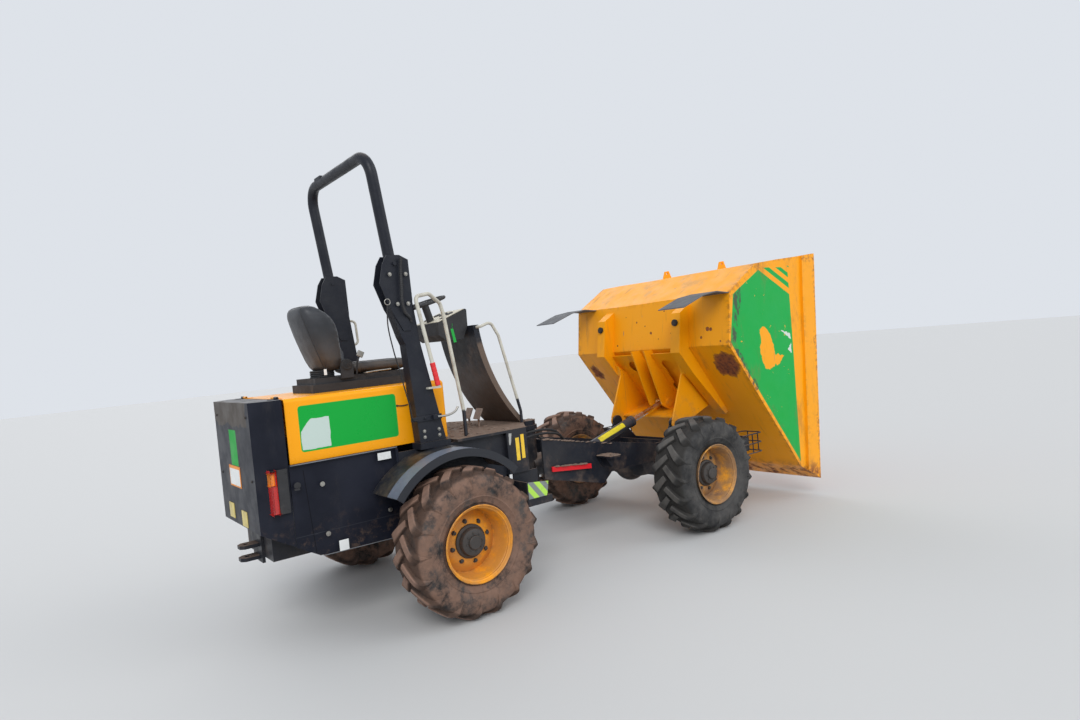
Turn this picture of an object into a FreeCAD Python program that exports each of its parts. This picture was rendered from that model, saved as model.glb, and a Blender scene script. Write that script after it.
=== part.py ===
"""Front-tipping articulated site dumper, with its skip raised as it was parked.

Lengths are in millimetres. The pieces are drawn with x = 0 under the rear axle,
X forwards, Y to the left, Z up and z = 0 on the ground. Each one is then moved
back by ORIGIN_X, so that the origin lies on the ground at the middle of the
machine's bounding box.
"""
import FreeCAD, Part
import math
import os

V = FreeCAD.Vector

# Running gear
WHEELBASE = 2626.0
TYRE_R = 537.5
TYRE_W = 390.0
WHEEL_Y = 981.0
RIM_SEAT_R = 254.0
RIM_FLANGE_R = 279.0
RIM_W = 330.0
HUB_R = 108.0
AXLE_TUBE_R = 75.0
AXLE_END_Y = 838.0
FIT_GAP = 0.3
TYRE_FACETS = 17
LUG_COUNT = 17
LUG_H = 24.0
LUG_T = 46.0
LUG_ANGLE = 42.0

# Rear bodywork
BODY_HALF_W = 570.0
BODY_REAR_X = -1290.0
BODY_REAR_HALF_W = BODY_HALF_W - 96
BODY_SEAM_X = BODY_REAR_X + 198
BODY_TOP_Z = 1700.0
BODY_BELT_Z = BODY_TOP_Z - 450
BODY_LOW_Z = 600.0
BODY_SKIN_T = 10.0
TAIL_LAMP_Z = 1085.0
PANEL_FRONT_X = -292.0
BONNET_HALF_W = BODY_HALF_W - 25
BONNET_REAR_X = BODY_SEAM_X + 22
BONNET_FRONT_X = 180.0
BONNET_T = 8.0
HINGE_X = BODY_SEAM_X + 11
HINGE_Z = BODY_TOP_Z + 8
HINGE_R = 10.0
HINGE_PIN_R = 5.0
HINGE_Y = 330.0
HINGE_W = 60.0

# Rear chassis
RAIL_Y = 310.0
RAIL_T = 16.0
RAIL_TOP_Z = 800.0
RAIL_REAR_X = -1180.0
PLATE_T = 12.0
BULKHEAD_X = 860.0
BULKHEAD_HALF_W = BODY_HALF_W + 70
STEP_TOP_Z = 860.0
FLOOR_Z = 1225.0
FLOOR_FRONT_X = 1060.0
FLOOR_NOSE_HALF_W = BULKHEAD_HALF_W - 310
FENDER_R = 667.0
FENDER_INNER_Y = BODY_HALF_W + 30
FENDER_OUTER_Y = 1000.0

# Articulation joint
PIVOT_X = 1313.0
YOKE_TOP_Z = 1150.0
YOKE_LOW_Z = 430.0
YOKE_T = 40.0
YOKE_HALF_W = 110.0
KINGPIN_R = 45.0
KINGPIN_BORE_R = 45.05
YOKE_GAP = 8.0

# Front chassis and skip pivot
FRAME_HALF_W = 430.0
FRAME_T = 20.0
SKIP_PIVOT_X = 2895.0
SKIP_PIVOT_Z = 950.0
SKIP_PIN_R = 30.0
SKIP_BORE_R = 30.05
GUSSET_GAP = 15.0
GUSSET_T = 20.0

# Skip
SKIP_HALF_W = 1150.0
RIM_PROUD = 25.0
SKIP_T = 6.0
BEAM_INNER_Y = 500.0
BEAM_OUTER_Y = 620.0
BEAM_DEPTH = 150.0
BEAM_T = 8.0
GUSSET_ROOT = (3005.0, 1560.0)
GUSSET_TOP = (3040.0, 1450.0)
CHEEK_INNER_Y = 84.0
CHEEK_OUTER_Y = 100.0
POCKET_OUT = 42.0

# Rams
RAM_BASE_X = 1900.0
RAM_BASE_Z = 750.0
RAM_EYE_X = 3200.0
RAM_EYE_Z = 1130.0
RAM_BARREL_R = 52.0
RAM_ROD_R = 28.0
RAM_BARREL_L = 850.0
RAM_PIN_R = 22.0
STEER_BASE = (PIVOT_X - 380.0, 230.0)
STEER_EYE = (PIVOT_X + 330.0, 300.0)
STEER_RAM_Z = 585.0
STEER_PIN_R = 14.0
STEER_BORE_START = 78.0
STEER_ROD_START = 245.0

# Roll-over bar
ROPS_Y = BODY_HALF_W + 40
ROPS_TUBE_R = 43.0
ROPS_WALL_T = 6.0
ROPS_FOLD_X = -207.0
ROPS_FOLD_Z = 2600.0
ROPS_TOP_Z = 3423.0
ROPS_TOP_X = -303.0
ROPS_CHEEK_GAP = 7.0
ROPS_CHEEK_T = 8.0
ROPS_PIN_R = 14.0

# Outline of the raised skip's side, from the rim's top edge round to its foot
SKIP_RIM_TOP = (4563.0, 2597.0)
SKIP_BACK = (3520.0, 2500.0)
SKIP_KNEE = (3077.0, 2230.0)
SKIP_HEEL = (3005.0, 1720.0)
SKIP_SPOUT = (4010.0, 362.0)
SKIP_RIM_FOOT = (4329.0, 170.0)
SKIP_SIDE = [SKIP_RIM_TOP, SKIP_BACK, SKIP_KNEE, SKIP_HEEL, SKIP_SPOUT, SKIP_RIM_FOOT]

# Driver's place
SCUTTLE_HALF_W = 300.0
SEAT_HALF_W = 240.0
SEAT_BASE_Z = BODY_TOP_Z + 62
SEAT_FLOOR_Z = BODY_TOP_Z + 108
STEERING_WHEEL_R = 180.0
STEERING_CENTRE = V(370, 0, 2345)
STEERING_TILT = 16.0

HITCH_REAR_X = -1330.0
ORIGIN_X = (HITCH_REAR_X + SKIP_RIM_TOP[0]) / 2
WHEEL_Z = TYRE_R
SIDES = (("left", 1), ("right", -1))


def box(x0, x1, y0, y1, z0, z1):
    """A block between two corners."""
    return Part.makeBox(x1 - x0, abs(y1 - y0), z1 - z0, V(x0, min(y0, y1), z0))


def cylinder(radius, start, end):
    """A round bar from one point to another."""
    start, end = V(*start), V(*end)
    return Part.makeCylinder(radius, start.distanceToPoint(end), start, end - start)


def side_plate(outline, y0, y1):
    """A flat outline of (x, z) points, made solid between y0 and y1."""
    low, high = min(y0, y1), max(y0, y1)
    points = [V(x, low, z) for x, z in outline]
    face = Part.Face(Part.makePolygon(points + points[:1]))
    return face.extrude(V(0, high - low, 0))


def floor_plate_shape(outline, z0, z1):
    """A flat outline of (x, y) points, made solid between z0 and z1."""
    points = [V(x, y, z0) for x, y in outline]
    face = Part.Face(Part.makePolygon(points + points[:1]))
    return face.extrude(V(0, 0, z1 - z0))


def inset(outline, distance):
    """The outline of (x, z) points moved inwards by a wall's thickness."""
    wire = Part.makePolygon([V(x, 0, z) for x, z in outline + outline[:1]])
    smaller = wire.makeOffset2D(-distance, 2)
    if Part.Face(smaller).Area > Part.Face(wire).Area:
        smaller = wire.makeOffset2D(distance, 2)
    return [(v.X, v.Z) for v in smaller.OrderedVertexes]


def round_path(points, radii):
    """Straight runs through the points, joined by arcs of the given radii."""
    points = [V(*p) for p in points]
    edges = []
    start = points[0]
    for before, corner, after, radius in zip(points, points[1:], points[2:], radii):
        back = (before - corner).normalize()
        ahead = (after - corner).normalize()
        half = back.getAngle(ahead) / 2
        cut = radius / math.tan(half)
        middle = (back + ahead).normalize()
        centre = corner + middle * (radius / math.sin(half))
        enter, leave = corner + back * cut, corner + ahead * cut
        edges.append(Part.LineSegment(start, enter).toShape())
        edges.append(Part.Arc(enter, centre - middle * radius, leave).toShape())
        start = leave
    edges.append(Part.LineSegment(start, points[-1]).toShape())
    return Part.Wire(edges)


def bent_tube(points, radii, tube_r):
    """A round tube swept along a bent path."""
    path = round_path(points, radii)
    first = V(*points[0])
    ring = Part.Circle(first, V(*points[1]) - first, tube_r).toShape()
    return path.makePipeShell([Part.Wire(ring)], True, False)


def fuse(pieces):
    """One solid from pieces that meet."""
    return pieces[0].multiFuse(pieces[1:]).removeSplitter()


def both_sides(shape):
    """The shape and its mirror image on the machine's other side."""
    return Part.makeCompound([shape, shape.mirror(V(0, 0, 0), V(0, 1, 0))])


def turned(profile, centre_x, side):
    """A wheel piece revolved from (radius, width) points; width grows outwards."""
    points = [V(0, side * w, r) for r, w in profile]
    face = Part.Face(Part.makePolygon(points + points[:1]))
    shape = face.revolve(V(0, 0, 0), V(0, 1, 0), 360)
    shape.translate(V(centre_x, side * WHEEL_Y, WHEEL_Z))
    return shape


def faceted_ring(profile, count):
    """A ring of flat facets through a closed profile of (radius, width) points."""
    step = 2 * math.pi / count
    rows = []
    for k in range(count):
        across, up = math.cos(k * step), math.sin(k * step)
        rows.append([V(r * across, w, r * up) for r, w in profile])
    faces = []
    for here, ahead in zip(rows, rows[1:] + rows[:1]):
        for i in range(len(profile)):
            j = (i + 1) % len(profile)
            corners = [here[i], here[j], ahead[j], ahead[i]]
            faces.append(Part.Face(Part.makePolygon(corners + corners[:1])))
    return Part.Solid(Part.Shell(faces))


def tyre_lug(hand):
    """One slanted bar at the top of the tyre, from its centre line over the shoulder."""
    slant = math.radians(LUG_ANGLE)
    reach = (TYRE_W / 2 - LUG_T / 2 * math.sin(slant)) / math.cos(slant)
    across = reach / 2 * math.sin(slant) + LUG_T / 2 * math.cos(slant)
    top = math.sqrt(TYRE_R ** 2 - across ** 2)
    # distance along the bar as a share of its reach, and height below its top
    section = [(-0.03, LUG_H + 26), (-0.03, 0), (0.62, 0), (0.94, 22), (1.0, 78)]
    points = [V(-LUG_T / 2, share * reach, top - drop) for share, drop in section]
    bar = Part.Face(Part.makePolygon(points + points[:1])).extrude(V(LUG_T, 0, 0))
    bar.rotate(V(0, 0, 0), V(0, 0, 1), LUG_ANGLE)
    bar.translate(V(reach / 2 * math.sin(slant), 0, 0))
    if hand < 0:
        bar = bar.mirror(V(0, 0, 0), V(0, 1, 0))
    return bar, math.degrees(math.asin(across / TYRE_R))


def tyre_body():
    """Wide low-pressure tyre about the origin, with its chevron lugs fused on."""
    half = TYRE_W / 2
    seat = (RIM_SEAT_R + FIT_GAP) / math.cos(math.pi / TYRE_FACETS)
    crown = TYRE_R - LUG_H
    one_side = [(seat, half * 0.74), (seat + 130, half * 0.97), (crown - 56, half * 0.93),
                (crown, half * 0.6)]
    profile = [(r, -w) for r, w in one_side] + one_side[::-1]
    pieces = [faceted_ring(profile, TYRE_FACETS)]
    pitch = 360 / LUG_COUNT
    for hand, offset in ((1, 0), (-1, pitch / 2)):
        bar, lean = tyre_lug(hand)
        for k in range(LUG_COUNT):
            lug = bar.copy()
            lug.rotate(V(0, 0, 0), V(0, 1, 0), 180 - lean + offset + k * pitch)
            pieces.append(lug)
    return pieces[0].multiFuse(pieces[1:])


def rim(centre_x, side):
    """Dished steel rim with its hub, whose back face meets the axle."""
    half = RIM_W / 2
    back = -(WHEEL_Y - AXLE_END_Y) + FIT_GAP
    profile = [
        (0, back), (HUB_R, back), (HUB_R, 20), (RIM_SEAT_R - 30, -20), (RIM_SEAT_R - 12, -30),
        (RIM_SEAT_R - 12, -half + 12), (RIM_FLANGE_R, -half - 6), (RIM_FLANGE_R, -half - 16),
        (RIM_SEAT_R, -half + 2), (RIM_SEAT_R, half - 2), (RIM_FLANGE_R, half + 16),
        (RIM_FLANGE_R, half + 6), (RIM_SEAT_R - 12, half - 12), (RIM_SEAT_R - 12, -16),
        (HUB_R + 20, 34), (HUB_R - 4, 34), (HUB_R - 12, 96), (HUB_R - 40, 110), (0, 110),
    ]
    return turned(profile, centre_x, side)


def axle(centre_x):
    """Axle beam with a round differential housing and a spring pad per side."""
    half = AXLE_END_Y
    beam = cylinder(AXLE_TUBE_R, (centre_x, -half, WHEEL_Z), (centre_x, half, WHEEL_Z))
    housing = Part.makeSphere(165, V(centre_x, 0, WHEEL_Z))
    neck = Part.makeCone(AXLE_TUBE_R, 120, 190, V(centre_x, -300, WHEEL_Z), V(0, 1, 0))
    neck_far = Part.makeCone(AXLE_TUBE_R, 120, 190, V(centre_x, 300, WHEEL_Z), V(0, -1, 0))
    pads = []
    for _, side in SIDES:
        pads.append(box(centre_x - 90, centre_x + 90, side * 280, side * 440,
                        WHEEL_Z - 60, WHEEL_Z + AXLE_TUBE_R + 7.5))
        drum = cylinder(115, (centre_x, side * (half - 70), WHEEL_Z), (centre_x, side * half, WHEEL_Z))
        pads.append(drum)
    return fuse([beam, housing, neck, neck_far] + pads)


def rear_frame():
    """Two rails with cross plates, carrying the engine and the hitch."""
    bottom = WHEEL_Z + AXLE_TUBE_R + 7.5
    pieces = []
    for _, side in SIDES:
        outline = [(RAIL_REAR_X, 560), (-400, 560), (-330, bottom), (330, bottom), (420, 500),
                   (BULKHEAD_X - PLATE_T, 480), (BULKHEAD_X - PLATE_T, RAIL_TOP_Z),
                   (RAIL_REAR_X, RAIL_TOP_Z)]
        pieces.append(side_plate(outline, side * (RAIL_Y - RAIL_T), side * RAIL_Y))
    inner = RAIL_Y - RAIL_T
    for x0, z0, z1 in ((RAIL_REAR_X, 560, RAIL_TOP_Z), (-360, 640, 760), (420, 500, 620)):
        pieces.append(box(x0, x0 + PLATE_T, -inner, inner, z0, z1))
    pieces.append(box(RAIL_REAR_X, -420, -inner, inner, 560, 572))
    return fuse(pieces)


def bulkhead():
    """Front wall of the rear chassis, with the side skirts below the floor."""
    low = YOKE_LOW_Z
    top = FLOOR_Z - 20
    half = BULKHEAD_HALF_W
    points = [(-half, STEP_TOP_Z), (50 - half, STEP_TOP_Z), (-330, 800), (-330, 480), (-220, low),
              (220, low), (330, 480), (330, 800), (half - 50, STEP_TOP_Z), (half, STEP_TOP_Z),
              (half, top), (-half, top)]
    wire = Part.makePolygon([V(BULKHEAD_X - PLATE_T, y, z) for y, z in points + points[:1]])
    wall = Part.Face(wire).extrude(V(PLATE_T, 0, 0))
    pieces = [wall]
    for _, side in SIDES:
        skirt = [(PANEL_FRONT_X + FIT_GAP, 1010), (-200, 700), (-60, 690), (60, 690), (560, 700),
                 (650, STEP_TOP_Z), (BULKHEAD_X - 6, STEP_TOP_Z), (BULKHEAD_X - 6, top),
                 (PANEL_FRONT_X + FIT_GAP, top)]
        pieces.append(side_plate(skirt, side * (FENDER_INNER_Y - FIT_GAP - PLATE_T),
                                 side * (FENDER_INNER_Y - FIT_GAP)))
        wing = [(660, STEP_TOP_Z), (BULKHEAD_X - 6, STEP_TOP_Z), (BULKHEAD_X - 6, top), (660, top)]
        pieces.append(side_plate(wing, side * (half - PLATE_T), side * half))
        pieces.append(box(660, 672, side * (FENDER_INNER_Y - 12), side * half, STEP_TOP_Z, top))
    return fuse(pieces)


def pivot_yoke():
    """Upper and lower arms that hold the kingpin, with its round cap."""
    pieces = []
    for z0 in (YOKE_LOW_Z, YOKE_TOP_Z - YOKE_T):
        half = YOKE_HALF_W
        plan = [(BULKHEAD_X, -200), (PIVOT_X - 60, -half), (PIVOT_X, -half), (PIVOT_X, half),
                (PIVOT_X - 60, half), (BULKHEAD_X, 200)]
        arm = floor_plate_shape(plan, z0, z0 + YOKE_T)
        nose = cylinder(YOKE_HALF_W, (PIVOT_X, 0, z0), (PIVOT_X, 0, z0 + YOKE_T))
        pieces += [arm, nose]
    for y in (-90, 78):
        web = [(BULKHEAD_X, YOKE_TOP_Z - YOKE_T), (1080, YOKE_TOP_Z - YOKE_T), (BULKHEAD_X, 930)]
        pieces.append(side_plate(web, y, y + PLATE_T))
        foot = [(BULKHEAD_X, YOKE_LOW_Z + YOKE_T), (1080, YOKE_LOW_Z + YOKE_T), (BULKHEAD_X, 640)]
        pieces.append(side_plate(foot, y, y + PLATE_T))
    pieces.append(cylinder(KINGPIN_R, (PIVOT_X, 0, YOKE_LOW_Z - 15), (PIVOT_X, 0, YOKE_TOP_Z + 10)))
    pieces.append(cylinder(95, (PIVOT_X, 0, YOKE_TOP_Z), (PIVOT_X, 0, YOKE_TOP_Z + 45)))
    return fuse(pieces)


def trunnion():
    """Front half of the articulation joint: a head on the kingpin and its tube."""
    low = YOKE_LOW_Z + YOKE_T + YOKE_GAP
    high = YOKE_TOP_Z - YOKE_T - YOKE_GAP
    head = cylinder(88, (PIVOT_X, 0, low), (PIVOT_X, 0, high))
    tube = cylinder(105, (PIVOT_X, 0, 760), (1640, 0, 760))
    collar = cylinder(130, (1590, 0, 760), (1640, 0, 760))
    bore = cylinder(KINGPIN_BORE_R, (PIVOT_X, 0, 0), (PIVOT_X, 0, 2000))
    return fuse([head, tube, collar]).cut(bore)


def front_frame():
    """Side plates with skip pivots, cross plates, ram lugs and lamp arms."""
    pieces = []
    outer, inner = FRAME_HALF_W, FRAME_HALF_W - FRAME_T
    axle_top = WHEEL_Z + AXLE_TUBE_R + 7.5
    plate = [(1166, 1055), (2600, 790), (2740, 790), (2830, 935), (2960, 935), (3150, 740),
             (3150, 600), (3010, axle_top), (1970, axle_top), (1860, 530), (1166, 700)]
    for _, side in SIDES:
        pieces.append(side_plate(plate, side * inner, side * outer))
        pieces.append(cylinder(62, (SKIP_PIVOT_X, side * inner, SKIP_PIVOT_Z),
                               (SKIP_PIVOT_X, side * (outer + 5), SKIP_PIVOT_Z)))
        pieces.append(cylinder(SKIP_PIN_R, (SKIP_PIVOT_X, side * inner, SKIP_PIVOT_Z),
                               (SKIP_PIVOT_X, side * (outer + GUSSET_GAP + GUSSET_T + 10), SKIP_PIVOT_Z)))
        pieces.append(box(1790, 1910, side * outer, side * 630, 790, 806))
        pieces.append(side_plate([(1790, 790), (1910, 790), (1850, 700)], side * 560, side * 572))
        pieces.append(side_plate([(1790, 790), (1910, 790), (1850, 700)], side * 440, side * 452))
        pieces.append(box(1844, 1856, side * outer, side * 572, 700, 790))
        pieces.append(side_plate([(1650, 700), (1900, 690), (1950, 750), (1900, 800), (1650, 860)],
                                 side * 64, side * 84))
        pieces.append(cylinder(32, (RAM_BASE_X, side * 84, RAM_BASE_Z),
                               (RAM_BASE_X, side * 96, RAM_BASE_Z)))
        pieces.append(cylinder(RAM_PIN_R, (RAM_BASE_X, 0, RAM_BASE_Z), (RAM_BASE_X, side * 84, RAM_BASE_Z)))
    pieces.append(box(1640, 1660, -inner, inner, 640, 950))
    pieces.append(box(2050, 2066, -inner, inner, 620, 690))
    pieces.append(box(2900, 2916, -inner, inner, 640, 760))
    pieces.append(box(3134, 3150, -inner, inner, 600, 740))
    for _, side in SIDES:
        elbow = [(3110, side * 425, 680), (3230, side * 560, 680), (3230, side * 820, 680)]
        pieces.append(bent_tube(elbow, [60], 22))
    return fuse(pieces)


def lamp_guards():
    """Headlamp boxes with their guard hoops, carried at the arms' ends."""
    guards = []
    for _, side in SIDES:
        back = box(3190, 3202, side * 800, side * 1040, 590, 800)
        socket = box(3190, 3262, side * 800, side * 826, 640, 720)
        hoops = []
        for z in (600, 695, 790):
            hoop = bent_tube([(3196, side * 806, z), (3520, side * 806, z), (3520, side * 1034, z),
                              (3196, side * 1034, z)], [40, 40], 6)
            hoops.append(hoop)
        for x, y in ((3520, 860), (3520, 980), (3360, 806), (3360, 1034)):
            hoops.append(cylinder(6, (x, side * y, 600), (x, side * y, 790)))
        guards.append(fuse([back, socket] + hoops).cut(cylinder(22, (3230, side * 500, 680),
                                                                (3230, side * 820, 680))))
    return Part.makeCompound(guards)


def headlamps():
    """Rectangular headlamp bodies seated on the guards' back plates."""
    lamps = []
    for _, side in SIDES:
        body = box(3202, 3330, side * 840, side * 1010, 625, 770)
        body = body.makeFillet(18, [e for e in body.Edges if abs(e.tangentAt(0).x) > 0.9])
        lamps.append(body)
    return Part.makeCompound(lamps)


def lock_bar():
    """Articulation lock bar, stowed on the front chassis with its pin."""
    y0 = -FRAME_HALF_W
    bar = side_plate([(1240, 800), (1700, 750), (1700, 705), (1240, 755)], y0 - 12, y0 - 24)
    lugs = [box(1260, 1276, y0 - 12, y0, 756, 792), box(1660, 1676, y0 - 12, y0, 716, 748)]
    pin = cylinder(11, (1955, y0, 780), (1955, y0 - 60, 780))
    bracket = box(1925, 1985, y0 - 30, y0, 752, 772)
    return Part.makeCompound([fuse([bar] + lugs), fuse([pin, bracket])])


def skip_shell():
    """Open skip of bent sheet, with a proud band along its whole rim."""
    outer_y = SKIP_HALF_W - RIM_PROUD
    body = side_plate(SKIP_SIDE, -outer_y, outer_y)
    hollow_side = inset(SKIP_SIDE, SKIP_T)
    void = side_plate(hollow_side, -outer_y + SKIP_T, outer_y - SKIP_T)
    shift = V(200, 0, -19)
    mouth = side_plate([(x + shift.x, z + shift.z) for x, z in hollow_side],
                       -outer_y + SKIP_T, outer_y - SKIP_T)
    shell = body.cut(void).cut(mouth)
    top_in = along(SKIP_RIM_TOP, SKIP_BACK, 240)
    foot_in = along(SKIP_RIM_FOOT, SKIP_SPOUT, 240)
    band = [SKIP_RIM_TOP, top_in, foot_in, SKIP_RIM_FOOT]
    pieces = [shell]
    for _, side in SIDES:
        pieces.append(side_plate(band, side * (outer_y - SKIP_T), side * SKIP_HALF_W))
    return fuse(pieces)


def along(start, end, distance):
    """The (x, z) point at a distance from start towards end."""
    length = math.dist(start, end)
    return (start[0] + (end[0] - start[0]) * distance / length,
            start[1] + (end[1] - start[1]) * distance / length)


def beam_face():
    """Lower and upper (x, z) ends of the beams' outer face along the skip's floor."""
    root = along(SKIP_KNEE, SKIP_HEEL, 60)
    return (SKIP_HEEL[0] - BEAM_DEPTH, SKIP_HEEL[1] - 40), (root[0] - BEAM_DEPTH, root[1] - 90)


def beam_outline():
    """Outline of a skip beam in side view, along the floor and the knee."""
    heel_out, knee_out = beam_face()
    knee_in = along(SKIP_KNEE, SKIP_HEEL, 60)
    lower = along(SKIP_HEEL, SKIP_SPOUT, 900)
    return [knee_in, knee_out, heel_out, GUSSET_TOP, (lower[0] - 40, lower[1] - 30), lower, SKIP_HEEL]


def off_floor(distance, out):
    """The (x, z) point along the skip's floor from its heel, and out from its outer face."""
    x, z = along(SKIP_HEEL, SKIP_SPOUT, distance)
    run, drop = SKIP_SPOUT[0] - SKIP_HEEL[0], SKIP_SPOUT[1] - SKIP_HEEL[1]
    length = math.hypot(run, drop)
    return x + out * drop / length, z - out * run / length


def pocket_cover(side):
    """Doubling plate between a ram cheek and a beam, with its kidney-shaped opening."""
    out, thick = POCKET_OUT, POCKET_OUT + 8
    y0, y1 = side * CHEEK_OUTER_Y, side * BEAM_INNER_Y
    face = [off_floor(20, out), off_floor(20, thick), off_floor(760, thick), off_floor(760, out)]
    plate = side_plate(face, y0, y1)
    foot = [off_floor(752, 0), off_floor(752, out), off_floor(760, out), off_floor(760, 0)]
    plate = fuse([plate, side_plate(foot, y0, y1)])
    # distance from the heel, distance from the middle, radius
    for distance, y, radius in ((190, 250, 78), (345, 232, 52), (500, 215, 74)):
        near, far = off_floor(distance, out - 20), off_floor(distance, thick + 20)
        plate = plate.cut(cylinder(radius, (near[0], side * y, near[1]), (far[0], side * y, far[1])))
    slot = [off_floor(200, out - 20), off_floor(200, thick + 20), off_floor(490, thick + 20),
            off_floor(490, out - 20)]
    return plate.cut(side_plate(slot, side * 185, side * 275))


def skip_frame():
    """Two beams under the skip with gussets down to the pivots, and the ram's cheeks."""
    beam = beam_outline()
    hollow = inset(beam, BEAM_T)
    gusset_y = FRAME_HALF_W + GUSSET_GAP
    gusset_far = gusset_y + GUSSET_T
    x, z = SKIP_PIVOT_X, SKIP_PIVOT_Z
    gusset = [GUSSET_ROOT, GUSSET_TOP, (x - 50, z + 45), (x - 45, z - 50), (x + 45, z - 50),
              (3470, 1092), along(SKIP_HEEL, SKIP_SPOUT, 420)]
    cheek = [(2880, 1720), (3100, 1105), (3180, 1060), (3400, 1000),
             along(SKIP_HEEL, SKIP_SPOUT, 820), SKIP_HEEL]
    link = [GUSSET_ROOT, GUSSET_TOP, along(SKIP_HEEL, SKIP_SPOUT, 620),
            along(SKIP_HEEL, SKIP_SPOUT, 420)]
    pieces = []
    for _, side in SIDES:
        beam_void = side_plate(hollow, side * (BEAM_INNER_Y + BEAM_T), side * (BEAM_OUTER_Y - BEAM_T))
        pieces.append(side_plate(beam, side * BEAM_INNER_Y, side * BEAM_OUTER_Y).cut(beam_void))
        pieces.append(side_plate(gusset, side * gusset_y, side * gusset_far))
        pieces.append(cylinder(58, (x, side * gusset_y, z), (x, side * gusset_far, z)))
        pieces.append(side_plate(link, side * gusset_y, side * BEAM_INNER_Y))
        pieces.append(side_plate(cheek, side * CHEEK_INNER_Y, side * CHEEK_OUTER_Y))
        pieces.append(cylinder(45, (RAM_EYE_X, side * CHEEK_INNER_Y, RAM_EYE_Z),
                               (RAM_EYE_X, side * (CHEEK_OUTER_Y + 16), RAM_EYE_Z)))
        pieces.append(pocket_cover(side))
    web = [(3020, 985), (3020, 997), (3450, 1110), (3470, 1092)]
    pieces.append(side_plate(web, -gusset_far, gusset_far))
    frame = fuse(pieces)
    for _, side in SIDES:
        frame = frame.cut(cylinder(SKIP_BORE_R, (x, side * (gusset_y - 5), z),
                                   (x, side * (gusset_far + 5), z)))
    return frame.cut(side_plate(SKIP_SIDE, -SKIP_HALF_W, SKIP_HALF_W))


def skip_buffers():
    """Rubber rest buffers on the two beams."""
    low, high = beam_face()
    spot = along(high, low, 100)
    middle = (BEAM_INNER_Y + BEAM_OUTER_Y) / 2
    outwards = V(low[1] - high[1], 0, high[0] - low[0]).normalize()
    pad = Part.makeCylinder(34, 22, V(spot[0], middle, spot[1]), outwards)
    return both_sides(pad)


def lifting_eyes():
    """Two lifting plates on the skip's back wall."""
    eyes = []
    for _, side in SIDES:
        y = side * 409
        plate = side_plate([(3840, 2515), (3990, 2530), (3945, 2625), (3885, 2618)], y - 10, y + 10)
        plate = plate.cut(cylinder(15, (3914, y - 20, 2592), (3914, y + 20, 2592)))
        eyes.append(plate.cut(side_plate(SKIP_SIDE, -SKIP_HALF_W, SKIP_HALF_W)))
    return Part.makeCompound(eyes)


def skip_guards():
    """Curved mudguards that hang behind the front wheels when the skip is down."""
    curve = [(3085, 2226), (2900, 2245), (2700, 2215), (2410, 2114)]
    under = [(x, z - 8) for x, z in reversed(curve)]
    guard = side_plate(curve + under, 800, 1120)
    guard = guard.cut(side_plate(SKIP_SIDE, -SKIP_HALF_W, SKIP_HALF_W))
    return both_sides(guard)


def ram_direction():
    """Unit vector along the tipping ram, from its base to its eye."""
    return V(RAM_EYE_X - RAM_BASE_X, 0, RAM_EYE_Z - RAM_BASE_Z).normalize()


def ram_barrel():
    """Barrel of the tipping ram, with its base eye and open bore for the rod."""
    base, line = V(RAM_BASE_X, 0, RAM_BASE_Z), ram_direction()
    barrel = Part.makeCylinder(RAM_BARREL_R, RAM_BARREL_L - 40, base + line * 40, line)
    gland = Part.makeCylinder(RAM_BARREL_R + 6, 40, base + line * (RAM_BARREL_L - 40), line)
    eye = cylinder(48, (RAM_BASE_X, -58, RAM_BASE_Z), (RAM_BASE_X, 58, RAM_BASE_Z))
    bore = Part.makeCylinder(RAM_ROD_R + 0.05, RAM_BARREL_L, base + line * 90, line)
    pin_hole = cylinder(RAM_PIN_R + 0.05, (RAM_BASE_X, -60, RAM_BASE_Z), (RAM_BASE_X, 60, RAM_BASE_Z))
    return fuse([barrel, gland, eye]).cut(bore).cut(pin_hole)


def ram_rod():
    """Chromed rod of the tipping ram, with the eye that the skip's cheeks take."""
    base, line = V(RAM_BASE_X, 0, RAM_BASE_Z), ram_direction()
    length = math.hypot(RAM_EYE_X - RAM_BASE_X, RAM_EYE_Z - RAM_BASE_Z)
    inside = RAM_BARREL_L - 100
    rod = Part.makeCylinder(RAM_ROD_R, length - inside, base + line * inside, line)
    eye = cylinder(44, (RAM_EYE_X, -58, RAM_EYE_Z), (RAM_EYE_X, 58, RAM_EYE_Z))
    return fuse([rod, eye])


def steering_ram():
    """The steering ram's barrel and rod, between the two chassis halves."""
    base = V(STEER_BASE[0], STEER_BASE[1], STEER_RAM_Z)
    tip = V(STEER_EYE[0], STEER_EYE[1], STEER_RAM_Z)
    line = (tip - base).normalize()
    length = base.distanceToPoint(tip)
    neck = Part.makeCylinder(18, 54, base + line * 20, line)
    barrel = Part.makeCylinder(30, 360, base + line * 60, line)
    eye = cylinder(32, (base.x, base.y, base.z - 22), (base.x, base.y, base.z + 22))
    bore = Part.makeCylinder(16.05, 400, base + line * STEER_BORE_START, line)
    hole = cylinder(STEER_PIN_R + 0.05, (base.x, base.y, base.z - 30), (base.x, base.y, base.z + 30))
    barrel = fuse([neck, barrel, eye]).cut(bore).cut(hole)
    rod = Part.makeCylinder(16, length - STEER_ROD_START, base + line * STEER_ROD_START, line)
    rod_eye = cylinder(28, (tip.x, tip.y, tip.z - 20), (tip.x, tip.y, tip.z + 20))
    return barrel, fuse([rod, rod_eye])


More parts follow.
